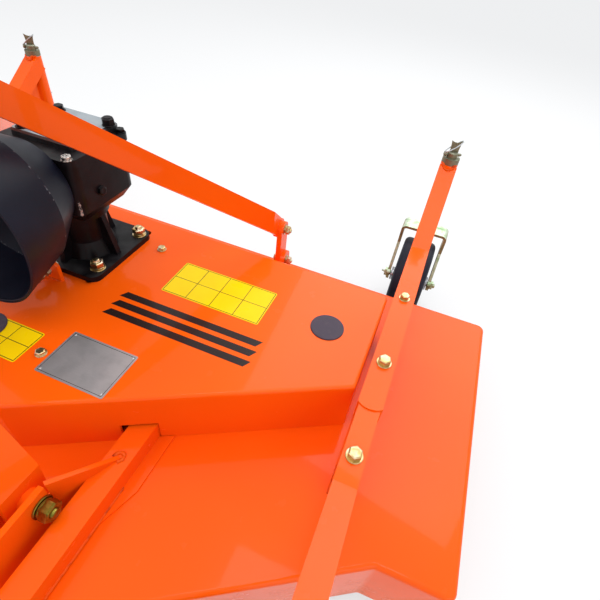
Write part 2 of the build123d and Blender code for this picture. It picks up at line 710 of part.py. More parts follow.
# Mast legs: flat bars from the lower pivots up to the head
lean = atan2(LEG_TOP_Y - PIVOT_Y, LEG_TOP_Z - PIVOT_Z)
leg_plane = Plane(
    origin=(0, PIVOT_Y, PIVOT_Z), x_dir=(1, 0, 0), z_dir=(0, -cos(lean), sin(lean))
)
leg_top_x = HEAD_HALF_GAP + HEAD_PLATE + LEG_THICK / 2
for side, sign in SIDES:
    leg_path = [
        (sign * LEG_X, -LEG_WIDTH / 2),
        (sign * LEG_X, (LEG_BEND_Z - PIVOT_Z) / cos(lean)),
        (sign * leg_top_x, (LEG_TOP_BEND_Z - PIVOT_Z) / cos(lean)),
        (sign * leg_top_x, (LEG_TOP_Z - PIVOT_Z) / cos(lean)),
    ]
    with BuildPart() as mast_leg:
        with BuildSketch(leg_plane):
            with BuildLine():
                Polyline(*bent_bar(leg_path, LEG_THICK / 2), close=True)
            make_face()
        extrude(amount=LEG_WIDTH / 2, both=True)
        boss_length = HITCH_GAP - 2 * SEAT
        with BuildSketch(side_plane(sign * (HITCH_OUTER_X - HITCH_PLATE - HITCH_GAP / 2))):
            with Locations((PIVOT_Y, PIVOT_Z)):
                Circle(LEG_BOSS_R)
        extrude(amount=boss_length / 2, both=True)
        with BuildSketch(side_plane(sign * LEG_X)):
            with Locations((PIVOT_Y, PIVOT_Z)):
                Circle(PIVOT_R + RUN_FIT)
        extrude(amount=HITCH_GAP, both=True, mode=Mode.SUBTRACT)
    save(mast_leg.part, f"mast_leg_{side}")

# Mast head: two plates for the top link, held apart by a spacer tube
with BuildPart() as mast_head:
    for sign in (-1, 1):
        with BuildSketch(side_plane(sign * (HEAD_HALF_GAP + HEAD_PLATE / 2))) as head_side:
            with BuildLine():
                Polyline(
                    (HEAD_FRONT_Y, HEAD_LOW),
                    (HEAD_FRONT_Y, HEAD_TOP),
                    (HEAD_REAR_Y, HEAD_TOP),
                    (HEAD_REAR_Y, HEAD_REAR_LOW),
                    (LEG_TOP_Y + LEG_WIDTH / 2, HEAD_LOW),
                    close=True,
                )
            make_face()
            fillet(head_side.vertices(), HEAD_CORNER_R)
            with Locations((TOP_PIN_Y, TOP_PIN_Z)):
                Circle(TOP_PIN_R, mode=Mode.SUBTRACT)
            with Locations((BRACE_TOP_Y, BRACE_TOP_Z)):
                Circle(BOLT_HOLE_R, mode=Mode.SUBTRACT)
        extrude(amount=HEAD_PLATE / 2, both=True)
    with BuildSketch(Plane.YZ):
        with Locations((HEAD_SPACER_Y, HEAD_SPACER_Z)):
            Circle(HEAD_SPACER_R)
    extrude(amount=HEAD_HALF_GAP, both=True)
save(mast_head.part, "mast_head")

# Braces: flat bars on edge from the head back to the links
brace_top_x = HEAD_HALF_GAP + HEAD_PLATE + BRACE_THICK / 2
brace_plan_run = hypot(BRACE_LOW_X - brace_top_x, BRACE_LOW_Y - BRACE_TOP_Y)
brace_pitch = atan2(BRACE_TOP_Z - BRACE_LOW_Z, brace_plan_run)
brace_tall = BRACE_WIDTH / cos(brace_pitch)
for side, sign in SIDES:
    brace_path = [
        (sign * brace_top_x, BRACE_TOP_Y - BRACE_WIDTH / 2),
        (sign * brace_top_x, BRACE_TOP_Y + BRACE_TAB),
        (sign * BRACE_LOW_X, BRACE_LOW_Y - BRACE_TAB),
        (sign * BRACE_LOW_X, BRACE_LOW_Y + BRACE_WIDTH / 2),
    ]
    with BuildPart() as brace:
        with BuildSketch(Plane.XY.offset(LINK_LOW_Z)):
            with BuildLine():
                Polyline(*bent_bar(brace_path, BRACE_THICK / 2), close=True)
            make_face()
        extrude(amount=HEAD_TOP + HOUSING_HEIGHT - LINK_LOW_Z)
        with BuildSketch(Plane.YZ):
            with BuildLine():
                Polyline(
                    (BRACE_TOP_Y, BRACE_TOP_Z - brace_tall / 2),
                    (BRACE_TOP_Y, BRACE_TOP_Z + brace_tall / 2),
                    (BRACE_LOW_Y, BRACE_LOW_Z + brace_tall / 2),
                    (BRACE_LOW_Y, BRACE_LOW_Z - brace_tall / 2),
                    close=True,
                )
            make_face()
            with Locations((BRACE_TOP_Y, BRACE_TOP_Z), (BRACE_LOW_Y, BRACE_LOW_Z)):
                Circle(BRACE_WIDTH / 2)
                Circle(BOLT_HOLE_R, mode=Mode.SUBTRACT)
        extrude(amount=BRACE_LOW_X + BRACE_THICK, both=True, mode=Mode.INTERSECT)
    save(brace.part, f"brace_{side}")

    link_x = BRACE_LOW_X + (BRACE_THICK + LINK_THICK) / 2
    with BuildPart() as link:
        with BuildSketch(side_plane(sign * link_x)):
            with Locations((BRACE_LOW_Y, (BRACE_LOW_Z + LINK_LOW_Z) / 2)):
                SlotCenterToCenter(BRACE_LOW_Z - LINK_LOW_Z, LINK_WIDTH, rotation=90)
            with Locations((BRACE_LOW_Y, BRACE_LOW_Z), (BRACE_LOW_Y, LINK_LOW_Z)):
                Circle(BOLT_HOLE_R, mode=Mode.SUBTRACT)
        extrude(amount=LINK_THICK / 2, both=True)
    save(link.part, f"brace_link_{side}")

    lug_x = link_x + (LINK_THICK + LUG_THICK) / 2
    with BuildPart() as lug:
        with BuildSketch(side_plane(sign * lug_x)):
            with Locations((BRACE_LOW_Y, LINK_LOW_Z)):
                Circle(LUG_WIDTH / 2)
            with Locations((BRACE_LOW_Y, (LINK_LOW_Z + DECK_TOP) / 2)):
                Rectangle(LUG_WIDTH, LINK_LOW_Z - DECK_TOP)
            with Locations((BRACE_LOW_Y, LINK_LOW_Z)):
                Circle(BOLT_HOLE_R, mode=Mode.SUBTRACT)
        extrude(amount=LUG_THICK / 2, both=True)
    save(lug.part, f"brace_lug_{side}")

# Caster arms, their stands and sleeves
channel_top = HOUSING_TOP
tube_top = channel_top - ARM_WALL - ARM_GAP
front_rise = tan(radians(FRONT_RISE_DEG))
rear_rise = tan(radians(REAR_RISE_DEG))
for side, sign in SIDES:
    arm_x = sign * CASTER_X
    tube_mid = tube_top - ARM_TUBE / 2
    front_end_z = tube_mid + (FRONT_BEND_Y - FRONT_SWIVEL_Y) * front_rise
    front_path = [
        (TUBE_REAR_Y, tube_mid),
        (FRONT_BEND_Y, tube_mid),
        (FRONT_SWIVEL_Y, front_end_z),
    ]
    with BuildPart() as front_arm:
        with BuildSketch(side_plane(arm_x)):
            with BuildLine():
                Polyline(*bent_bar(front_path, ARM_TUBE / 2), close=True)
            make_face()
        extrude(amount=ARM_TUBE / 2, both=True)
        with BuildSketch(side_plane(arm_x)):
            with BuildLine():
                Polyline(*bent_bar(front_path, ARM_TUBE / 2 - ARM_WALL), close=True)
            make_face()
        extrude(amount=ARM_TUBE / 2 - ARM_WALL, both=True, mode=Mode.SUBTRACT)
        with BuildSketch(Plane.XY.offset(SLEEVE_LOW)):
            with Locations((arm_x, FRONT_SWIVEL_Y)):
                Circle(SLEEVE_R)
        extrude(amount=SLEEVE_TOP - SLEEVE_LOW)
        with BuildSketch(Plane.XY.offset(SLEEVE_LOW - OVER)):
            with Locations((arm_x, FRONT_SWIVEL_Y)):
                Circle(SHAFT_R + RUN_FIT)
        extrude(amount=SLEEVE_TOP - SLEEVE_LOW + 2 * OVER, mode=Mode.SUBTRACT)
        with BuildSketch(Plane.XY.offset(SLEEVE_TOP)):
            with Locations((arm_x, FRONT_SWIVEL_Y)):
                Rectangle(4 * SLEEVE_R, 4 * SLEEVE_R)
        extrude(amount=4 * SLEEVE_R, mode=Mode.SUBTRACT)
    save(front_arm.part, f"front_arm_{side}")

    channel_mid = channel_top - CHANNEL_DEPTH / 2
    rear_end_z = channel_mid + (REAR_SWIVEL_Y - REAR_BEND_Y) * rear_rise
    rear_path = [
        (CHANNEL_FRONT_Y - CHANNEL_NOSE, channel_mid),
        (REAR_BEND_Y, channel_mid),
        (REAR_SWIVEL_Y, rear_end_z),
    ]
    lower_path = [(y, z - ARM_WALL) for y, z in rear_path]
    lower_path[0] = (CHANNEL_FRONT_Y - CHANNEL_NOSE - OVER, channel_mid - ARM_WALL)
    with BuildPart() as rear_arm:
        with BuildSketch(side_plane(arm_x)):
            with BuildLine():
                Polyline(*bent_bar(rear_path, CHANNEL_DEPTH / 2), close=True)
            make_face()
        extrude(amount=CHANNEL_WIDTH / 2, both=True)
        with BuildSketch(side_plane(arm_x)):
            with BuildLine():
                Polyline(*bent_bar(lower_path, CHANNEL_DEPTH / 2), close=True)
            make_face()
        extrude(amount=CHANNEL_WIDTH / 2 - ARM_WALL, both=True, mode=Mode.SUBTRACT)
        nose_half = CHANNEL_WIDTH / 2
        nose_y = CHANNEL_FRONT_Y - CHANNEL_NOSE
        with BuildSketch(Plane.XY.offset(channel_top + OVER)):
            with BuildLine():
                ThreePointArc(
                    (arm_x - nose_half, CHANNEL_FRONT_Y),
                    (arm_x, nose_y),
                    (arm_x + nose_half, CHANNEL_FRONT_Y),
                )
                Polyline(
                    (arm_x + nose_half, CHANNEL_FRONT_Y),
                    (arm_x + nose_half, nose_y - OVER),
                    (arm_x - nose_half, nose_y - OVER),
                    (arm_x - nose_half, CHANNEL_FRONT_Y),
                )
            make_face()
        extrude(amount=-CHANNEL_DEPTH - 2 * OVER, mode=Mode.SUBTRACT)
        with BuildSketch(Plane.XY.offset(SLEEVE_LOW)):
            with Locations((arm_x, REAR_SWIVEL_Y)):
                Circle(SLEEVE_R)
        extrude(amount=SLEEVE_TOP - SLEEVE_LOW)
        with BuildSketch(Plane.XY.offset(SLEEVE_LOW - OVER)):
            with Locations((arm_x, REAR_SWIVEL_Y)):
                Circle(SHAFT_R + RUN_FIT)
        extrude(amount=SLEEVE_TOP - SLEEVE_LOW + 2 * OVER, mode=Mode.SUBTRACT)
        with BuildSketch(Plane.XY.offset(SLEEVE_TOP)):
            with Locations((arm_x, REAR_SWIVEL_Y)):
                Rectangle(4 * SLEEVE_R, 4 * SLEEVE_R)
        extrude(amount=4 * SLEEVE_R, mode=Mode.SUBTRACT)
    save(rear_arm.part, f"rear_arm_{side}")

    with BuildPart() as arm_stands:
        for stand_y in (OUTER_Y - STAND_AHEAD, OUTER_Y + STAND_BEHIND):
            tall = tube_top - ARM_TUBE - DECK_TOP
            with BuildSketch(Plane.XY.offset(DECK_TOP)):
                with Locations((arm_x, stand_y)):
                    Rectangle(ARM_TUBE, STAND_LENGTH)
                    Rectangle(
                        ARM_TUBE - 2 * STAND_WALL,
                        STAND_LENGTH - 2 * STAND_WALL,
                        mode=Mode.SUBTRACT,
                    )
            extrude(amount=tall)
    save(arm_stands.part, f"arm_stands_{side}")

# Spindle housings under the deck, with their shafts and blades
for name, x, y in SPINDLES:
    deck_under = DECK_TOP - SHEET
    with BuildPart() as spindle_housing:
        with BuildSketch(Plane.XY.offset(deck_under)):
            with Locations((x, y)):
                Circle(HOUSING_FLANGE_R)
        extrude(amount=-HOUSING_FLANGE)
        with BuildSketch(Plane.XY.offset(SPINDLE_BODY_LOW)):
            with Locations((x, y)):
                Circle(SPINDLE_BODY_R)
        extrude(amount=DECK_TOP + SPINDLE_BODY_UP - SPINDLE_BODY_LOW)
        with BuildSketch(Plane.XY.offset(SPINDLE_BODY_LOW - OVER)):
            with Locations((x, y)):
                Circle(SPINDLE_SHAFT_R + RUN_FIT)
        extrude(
            amount=DECK_TOP + SPINDLE_BODY_UP - SPINDLE_BODY_LOW + 2 * OVER,
            mode=Mode.SUBTRACT,
        )
    save(spindle_housing.part, f"spindle_housing_{name}")

    with BuildPart() as spindle:
        with BuildSketch(Plane.XY.offset(BLADE_TOP)):
            with Locations((x, y)):
                Circle(SPINDLE_SHAFT_R)
        extrude(amount=DECK_TOP + SPINDLE_BODY_UP + SPINDLE_TOP_FREE - BLADE_TOP)
        chamfer(spindle.faces().sort_by(Axis.Z)[-1].edges(), SPINDLE_CHAMFER)
        with BuildSketch(Plane.XY.offset(BLADE_TOP)):
            with Locations((x, y)):
                Circle(BLADE_HUB_R)
        extrude(amount=BLADE_HUB)
        with BuildSketch(Plane.XY.offset(BLADE_TOP - BLADE_THICK)):
            with Locations((x, y)):
                hexagon(BLADE_BOLT_R)
        extrude(amount=-BLADE_BOLT)
        with BuildSketch(Plane.XY.offset(BLADE_TOP)):
            with Locations((x, y)):
                Circle(SPINDLE_SHAFT_R / 2)
        extrude(amount=-BLADE_THICK)
    save(spindle.part, f"spindle_{name}")

    with BuildPart() as blade:
        with BuildSketch(Plane.XY.offset(BLADE_TOP - BLADE_THICK)):
            with Locations((x, y)):
                Rectangle(BLADE_LENGTH, BLADE_WIDTH)
                Circle(SPINDLE_SHAFT_R / 2 + RUN_FIT, mode=Mode.SUBTRACT)
        extrude(amount=BLADE_THICK)
        for turn in (-1, 1):
            wing_x = x + turn * (BLADE_LENGTH - BLADE_LIFT_LENGTH) / 2
            back_y = y + turn * (BLADE_WIDTH / 2 - BLADE_LIFT_WIDTH)
            with BuildSketch(side_plane(wing_x)):
                with BuildLine():
                    Polyline(
                        (back_y, BLADE_TOP),
                        (back_y, BLADE_TOP - BLADE_THICK),
                        (back_y + turn * BLADE_LIFT_WIDTH, BLADE_TOP + BLADE_LIFT - BLADE_THICK),
                        (back_y + turn * BLADE_LIFT_WIDTH, BLADE_TOP + BLADE_LIFT),
                        close=True,
                    )
                make_face()
            extrude(amount=BLADE_LIFT_LENGTH / 2, both=True)
            edge_x = x + turn * (BLADE_LENGTH - BLADE_EDGE_LENGTH) / 2
            edge_y = y - turn * BLADE_WIDTH / 2
            with BuildSketch(side_plane(edge_x)):
                with BuildLine():
                    Polyline(
                        (edge_y, BLADE_TOP),
                        (edge_y + turn * BLADE_EDGE_WIDTH, BLADE_TOP),
                        (edge_y, BLADE_TOP - BLADE_THICK + BLADE_EDGE_LEFT),
                        close=True,
                    )
                make_face()
            extrude(amount=BLADE_EDGE_LENGTH / 2, both=True, mode=Mode.SUBTRACT)
    save(blade.part, f"blade_{name}")

# Caster forks, rims and tyres
axle_z = TYRE_R
fork_tall = FORK_TOP - axle_z + FORK_EYE_R + FORK_BEND_R
for end, swivel_y in (("front", FRONT_SWIVEL_Y), ("rear", REAR_SWIVEL_Y)):
    for side, sign in SIDES:
        x = sign * CASTER_X
        wheel_y = swivel_y - TRAIL
        with BuildPart() as fork:
            with BuildSketch(front_plane(x, swivel_y, 0)):
                with Locations((0, FORK_TOP - fork_tall / 2)):
                    RectangleRounded(FORK_WIDTH, fork_tall, FORK_BEND_R)
                    RectangleRounded(
                        FORK_WIDTH - 2 * FORK_PLATE,
                        fork_tall - 2 * FORK_PLATE,
                        FORK_BEND_R - FORK_PLATE,
                        mode=Mode.SUBTRACT,
                    )
            extrude(amount=TRAIL + 2 * FORK_EYE_R + FORK_DEPTH, both=True)
            with BuildSketch(side_plane(x)):
                with BuildLine():
                    Polyline(
                        (swivel_y - FORK_DEPTH / 2, FORK_TOP),
                        (swivel_y + FORK_DEPTH / 2, FORK_TOP),
                        (swivel_y + FORK_DEPTH / 2, FORK_TOP - FORK_KNEE_DROP),
                        (wheel_y + FORK_EYE_R, axle_z),
                        (wheel_y - FORK_EYE_R, axle_z),
                        (swivel_y - FORK_DEPTH / 2, FORK_TOP - FORK_KNEE_DROP),
                        close=True,
                    )
                make_face()
            extrude(amount=FORK_WIDTH, both=True, mode=Mode.INTERSECT)
            for leg in (-1, 1):
                leg_x = x + leg * (FORK_WIDTH - FORK_PLATE) / 2
                with BuildSketch(side_plane(leg_x)):
                    with Locations((wheel_y, axle_z)):
                        Circle(FORK_EYE_R)
                extrude(amount=FORK_PLATE / 2, both=True)
            with BuildSketch(side_plane(x)):
                with Locations((wheel_y, axle_z)):
                    Circle(AXLE_R)
            extrude(amount=FORK_WIDTH / 2, both=True)
            for leg in (-1, 1):
                with BuildSketch(side_plane(x + leg * FORK_WIDTH / 2)):
                    with Locations((wheel_y, axle_z)):
                        hexagon(AXLE_HEAD_R)
                extrude(amount=leg * AXLE_HEAD)
            with BuildSketch(Plane.XY.offset(FORK_TOP)):
                with Locations((x, swivel_y)):
                    Circle(SLEEVE_R)
            extrude(amount=WASHER_HEIGHT)
            with BuildSketch(Plane.XY.offset(FORK_TOP)):
                with Locations((x, swivel_y)):
                    Circle(SHAFT_R)
            extrude(amount=SLEEVE_TOP + SEAT + COLLAR_HEIGHT + SHAFT_END - FORK_TOP)
            chamfer(fork.faces().sort_by(Axis.Z)[-1].edges(), SHAFT_CHAMFER)
            with BuildSketch(Plane.XY.offset(SLEEVE_TOP + SEAT)):
                with Locations((x, swivel_y)):
                    Circle(COLLAR_R)
            extrude(amount=COLLAR_HEIGHT)
        save(fork.part, f"caster_fork_{end}_{side}")

        wheel_plane = front_plane(x, wheel_y, axle_z)
        wheel_axis = Axis((x, wheel_y, axle_z), (1, 0, 0))
        with BuildPart() as rim:
            with BuildSketch(wheel_plane):
                with BuildLine():
                    Polyline(
                        (-HUB_LENGTH / 2, AXLE_R + RUN_FIT),
                        (HUB_LENGTH / 2, AXLE_R + RUN_FIT),
                        (HUB_LENGTH / 2, HUB_R),
                        (RIM_WEB / 2, HUB_R),
                        (RIM_WEB / 2, RIM_R - RIM_WALL),
                        (RIM_WIDTH / 2, RIM_R - RIM_WALL),
                        (RIM_WIDTH / 2, RIM_R),
                        (-RIM_WIDTH / 2, RIM_R),
                        (-RIM_WIDTH / 2, RIM_R - RIM_WALL),
                        (-RIM_WEB / 2, RIM_R - RIM_WALL),
                        (-RIM_WEB / 2, HUB_R),
                        (-HUB_LENGTH / 2, HUB_R),
                        close=True,
                    )
                make_face()
            revolve(axis=wheel_axis)
        save(rim.part, f"wheel_rim_{end}_{side}")

        shoulder_r = TYRE_R - TYRE_SHOULDER_R
        bead_r = RIM_R + SEAT
        tread_half = TYRE_WIDTH / 2 - TYRE_SHOULDER_R
        shoulder_step = TYRE_SHOULDER_R * sin(radians(45))
        with BuildPart() as tyre:
            with BuildSketch(wheel_plane):
                with BuildLine():
                    for turn in (-1, 1):
                        Polyline(
                            (0, bead_r),
                            (turn * RIM_WIDTH / 2, bead_r),
                            (turn * TYRE_WIDTH / 2, bead_r + TYRE_BEAD),
                            (turn * TYRE_WIDTH / 2, shoulder_r),
                        )
                        ThreePointArc(
                            (turn * TYRE_WIDTH / 2, shoulder_r),
                            (turn * (tread_half + shoulder_step), shoulder_r + shoulder_step),
                            (turn * tread_half, TYRE_R),
                        )
                    Line((-tread_half, TYRE_R), (tread_half, TYRE_R))
                make_face()
            revolve(axis=wheel_axis)
        save(tyre.part, f"tyre_{end}_{side}")
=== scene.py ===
import json
import math
import random

import bmesh
import bpy
from bpy.props import FloatProperty, FloatVectorProperty, IntProperty, PointerProperty
from bpy.types import Operator, Panel, PropertyGroup
from mathutils import Matrix, Vector


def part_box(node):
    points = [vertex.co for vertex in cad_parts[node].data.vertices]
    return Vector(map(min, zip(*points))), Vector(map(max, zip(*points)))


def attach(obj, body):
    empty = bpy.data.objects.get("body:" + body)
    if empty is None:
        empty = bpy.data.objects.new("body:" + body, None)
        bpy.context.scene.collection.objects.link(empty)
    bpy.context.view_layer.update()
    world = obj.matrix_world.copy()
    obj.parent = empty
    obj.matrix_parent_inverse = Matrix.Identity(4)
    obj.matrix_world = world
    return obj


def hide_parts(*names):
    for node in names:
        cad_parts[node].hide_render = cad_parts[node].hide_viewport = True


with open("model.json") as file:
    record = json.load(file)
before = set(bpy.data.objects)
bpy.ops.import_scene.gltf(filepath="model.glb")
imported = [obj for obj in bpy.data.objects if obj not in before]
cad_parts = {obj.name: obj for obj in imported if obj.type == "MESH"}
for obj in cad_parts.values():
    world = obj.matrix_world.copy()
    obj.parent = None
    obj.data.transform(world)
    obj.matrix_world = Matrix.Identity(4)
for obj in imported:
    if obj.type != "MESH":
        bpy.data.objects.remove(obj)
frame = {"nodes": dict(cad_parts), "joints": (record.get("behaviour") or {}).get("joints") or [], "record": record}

bl_info = {
    "name": "Finishing mower dressing",
    "version": (1, 0, 0),
    "blender": (4, 5, 0),
    "location": "View3D > Sidebar > Mower",
    "description": "Finishes and small parts for the packed three-blade finishing mower",
    "category": "Object",
}

MM = 0.001
NODES = frame["nodes"]
SIDES = (("left", -1), ("right", 1))
CASTERS = [(end, side, sign) for end in ("front", "rear") for side, sign in SIDES]

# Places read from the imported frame
_, housing_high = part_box("belt_housing")
_, deck_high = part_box("deck_shell")
gear_low, gear_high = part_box("gearbox_body")
cover_low, cover_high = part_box("gearbox_cover")
shaft_low, shaft_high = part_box("input_shaft")
joint_places = {joint["name"]: Vector(joint["pos_m"]) for joint in frame["joints"]}
HOUSING_TOP = housing_high.z
DECK_TOP = deck_high.z
INPUT_Z = (shaft_low.z + shaft_high.z) / 2
ON_HOUSING = Matrix.Translation((0, 0, HOUSING_TOP))

# Places known from the part's plan
SPINDLE_LINE = 130 * MM
SHIELD_RIDGE = SPINDLE_LINE - 164 * MM
BOSS_DEPTH = 14 * MM
COLLAR_LOW = 496 * MM
PLATE_THICK = 4 * MM
TUBE_UNDER_CHANNEL = 3.25 * MM
LEG_WELD_HEIGHTS = (736 * MM, 796 * MM)

# Shares of a bolt's thread size
HEAD_ACROSS = 1.55
WASHER_THICK = 0.18
LOCK_THICK = 0.22
NUT_TALL = 0.8

# A weld bead's length per ripple, and its swell and shrink from ripple to ripple
RIPPLE_LENGTH = 2.4 * MM
RIPPLE_SHARES = (0.94, 1.12)
RIPPLE_CHANCE = 0.13
WANDER = 0.16

# A caster tyre's seat on its rim and the round of its shoulder
BEAD_RADIUS = 66.3 * MM
SHOULDER = 14 * MM

# Where the photograph was taken from, and which way its picture lies
PHOTO_PLACE = (0.689, -0.4856, 0.995)
PHOTO_RIGHT = (0.92598, 0.36311, 0.10349)
PHOTO_UP = (-0.32099, 0.61275, 0.72215)
PHOTO_BACK = (0.19881, -0.70191, 0.68395)
FLOOR_HALF = 60.0


# Meshes


def placed(origin, axis=(0, 0, 1), turn=0.0):
    """A matrix that puts +Z along the axis at the origin, turned about it."""
    point = Vector(axis).to_track_quat("Z", "Y").to_matrix().to_4x4()
    return Matrix.Translation(Vector(origin)) @ point @ Matrix.Rotation(turn, 4, "Z")


def plan(x, ahead, z=0.0):
    """A place from millimetres across and from the spindle line, at a height in metres."""
    return Vector((x * MM, SPINDLE_LINE + ahead * MM, z))


def metres(*pairs):
    """Pairs of millimetres as pairs of metres."""
    return [(first * MM, second * MM) for first, second in pairs]


def around(count, start=0.0):
    """Angles spread evenly round a circle, from a share of one step on."""
    return [math.tau * (step + start) / count for step in range(count)]


def off_axis(matrix, radius, angle, height=0.0):
    """A point beside the matrix's Z axis."""
    return matrix @ Vector((radius * math.cos(angle), radius * math.sin(angle), height))


def ring(bm, matrix, radius, height, count, turn=0.0):
    """A ring of corner points round the matrix's Z axis, or one point for no radius."""
    if radius == 0:
        return [bm.verts.new(matrix @ Vector((0, 0, height)))]
    angles = [turn + angle for angle in around(count)]
    return [bm.verts.new(off_axis(matrix, radius, angle, height)) for angle in angles]


def skin(bm, first, second, material=0):
    """Faces between two rings; a ring of one point closes into a fan."""
    count = max(len(first), len(second))
    for step in range(count):
        after = (step + 1) % count
        if len(first) == 1:
            corners = [first[0], second[after], second[step]]
        elif len(second) == 1:
            corners = [first[step], first[after], second[0]]
        else:
            corners = [first[step], first[after], second[after], second[step]]
        bm.faces.new(corners).material_index = material


def turned(bm, matrix, profile, count=24, material=0, turn=0.0, closed=False):
    """A lathe-turned form from (radius, height) pairs along the matrix's Z axis."""
    rings = [ring(bm, matrix, radius, height, count, turn) for radius, height in profile]
    pairs = list(zip(rings, rings[1:]))
    if closed:
        pairs.append((rings[-1], rings[0]))
    for first, second in pairs:
        skin(bm, first, second, material)


def prism(bm, matrix, outline, low, high, material=0, bevel=0.0):
    """An outline in the matrix's XY plane drawn out along its Z axis, with softened edges."""
    base = [bm.verts.new(matrix @ Vector((x, y, low))) for x, y in outline]
    top = [bm.verts.new(matrix @ Vector((x, y, high))) for x, y in outline]
    faces = [bm.faces.new(base[::-1]), bm.faces.new(top)]
    for step in range(len(outline)):
        after = (step + 1) % len(outline)
        faces.append(bm.faces.new((base[step], base[after], top[after], top[step])))
    for face in faces:
        face.material_index = material
    if bevel:
        edges = list({edge for face in faces for edge in face.edges})
        bmesh.ops.bevel(
            bm, geom=edges, offset=bevel, segments=2, affect="EDGES", profile=0.6, clamp_overlap=True
        )


def block(bm, low, high, material=0, bevel=0.0, matrix=Matrix.Identity(4)):
    """A box between two corners, with softened edges."""
    outline = [(low[0], low[1]), (high[0], low[1]), (high[0], high[1]), (low[0], high[1])]
    prism(bm, matrix, outline, low[2], high[2], material, bevel)


def tube(bm, points, radii, count=8, material=0):
    """A round bar along points; its radius may change from point to point."""
    points = [Vector(point) for point in points]
    if not isinstance(radii, (list, tuple)):
        radii = [radii] * len(points)
    rings = []
    side = None
    for index, (point, radius) in enumerate(zip(points, radii)):
        before = points[max(index - 1, 0)]
        after = points[min(index + 1, len(points) - 1)]
        along = (after - before).normalized()
        if side is None:
            side = along.orthogonal().normalized()
        side = (side - along * side.dot(along)).normalized()
        other = along.cross(side)
        spokes = [side * math.cos(angle) + other * math.sin(angle) for angle in around(count)]
        rings.append([bm.verts.new(point + radius * spoke) for spoke in spokes])
    for first, second in zip(rings, rings[1:]):
        skin(bm, first, second, material)
    for end in (rings[0][::-1], rings[-1]):
        bm.faces.new(end).material_index = material


def weld(bm, start, end, radius, seed):
    """A rippled weld bead laid from start to end."""
    start, end = Vector(start), Vector(end)
    chance = random.Random(seed)
    steps = max(6, int((end - start).length / RIPPLE_LENGTH))
    points = []
    radii = []
    for step in range(steps + 1):
        wander = Vector([chance.uniform(-1, 1) for _ in range(3)]) * radius * WANDER
        points.append(start.lerp(end, step / steps) + wander)
        swell = 1 + chance.uniform(-RIPPLE_CHANCE, RIPPLE_CHANCE)
        radii.append(radius * swell * RIPPLE_SHARES[step % 2])
    radii[0] *= 0.6
    radii[-1] *= 0.6
    tube(bm, points, radii)


def washer(bm, matrix, hole, radius, thick, low=0.0, material=0):
    """A flat washer with broken edges."""
    soft = thick * 0.25
    high = low + thick
    profile = [
        (hole, low), (radius - soft, low), (radius, low + soft), (radius, high - soft),
        (radius - soft, high), (hole + soft, high), (hole, high - soft),
    ]
    turned(bm, matrix, profile, count=28, material=material, closed=True)


def hexagon(bm, matrix, across, low, high, material=0, turn=0.0):
    """A hexagonal head or nut, its corners turned off and its top dished."""
    half = across / 2
    corner = half / math.cos(math.pi / 6)
    tall = high - low
    dish = high - tall * 0.04
    profile = [
        (0, low), (corner * 0.985, low), (corner, low + tall * 0.05), (corner, high - tall * 0.16),
        (half * 0.97, high - tall * 0.015), (half * 0.9, high), (half * 0.66, dish), (0, dish),
    ]
    turned(bm, matrix, profile, 6, material, turn)


def thread(bm, matrix, radius, low, high, material=0):
    """A threaded end: close grooves and a pointed tip."""
    pitch = radius * 0.34
    profile = [(0, low), (radius * 0.9, low)]
    height = low
    while height + pitch < high - radius * 0.3:
        profile += [(radius, height + pitch * 0.35), (radius * 0.88, height + pitch * 0.85)]
        height += pitch
    profile += [(radius * 0.8, high - radius * 0.1), (radius * 0.66, high), (0, high)]
    turned(bm, matrix, profile, 20, material)


def bolt(bm, matrix, size, flat=True, stub=0.0, turn=0.0, material=0, wide=2.1, tall=0.64):
    """A hexagon bolt of a metric size on its washer, or a locked nut round a stub of thread."""
    seat = 0.0
    hole = size / 2
    if flat:
        seat = size * WASHER_THICK
        washer(bm, matrix, hole, size * wide / 2, seat, 0.0, material)
    if stub:
        lock = size * LOCK_THICK
        washer(bm, matrix, hole, size * 0.8, lock, seat, material)
        seat += lock
        tall = NUT_TALL
        thread(bm, matrix, hole, seat + size * 0.7, seat + size * tall + stub, material)
    hexagon(bm, matrix, size * HEAD_ACROSS, seat, seat + size * tall, material, turn)


def nipple(bm, origin, axis):
    """A grease nipple that stands along an axis."""
    profile = metres(
        (0, 0), (4.5, 0), (4.5, 3), (2.6, 4), (2.6, 7), (3.4, 8.4), (1.8, 11), (0, 11)
    )
    turned(bm, placed(origin, axis), profile, 14)


def rounded(width, depth, corner, centre, steps=4):
    """The outline of a rectangle with round corners."""
    outline = []
    for quarter, (side_x, side_y) in enumerate(((1, 1), (-1, 1), (-1, -1), (1, -1))):
        for step in range(steps + 1):
            angle = math.pi / 2 * (quarter + step / steps)
            x = centre[0] + side_x * (width / 2 - corner) + corner * math.cos(angle)
            y = centre[1] + side_y * (depth / 2 - corner) + corner * math.sin(angle)
            outline.append((x, y))
    return outline


def surface_of(name, x, y, under=False):
    """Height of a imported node's upper or lower surface above a place on the ground."""
    start = Vector((x, y, 0.0 if under else 1.0))
    hit, point, _, _ = NODES[name].ray_cast(start, Vector((0, 0, 1 if under else -1)))
    if not hit:
        raise ValueError(f"{name} has no surface at {x:.3f}, {y:.3f}")
    return point.z


def linked(name, data):
    """A new object in the scene."""
    made = bpy.data.objects.new(name, data)
    bpy.context.scene.collection.objects.link(made)
    return made


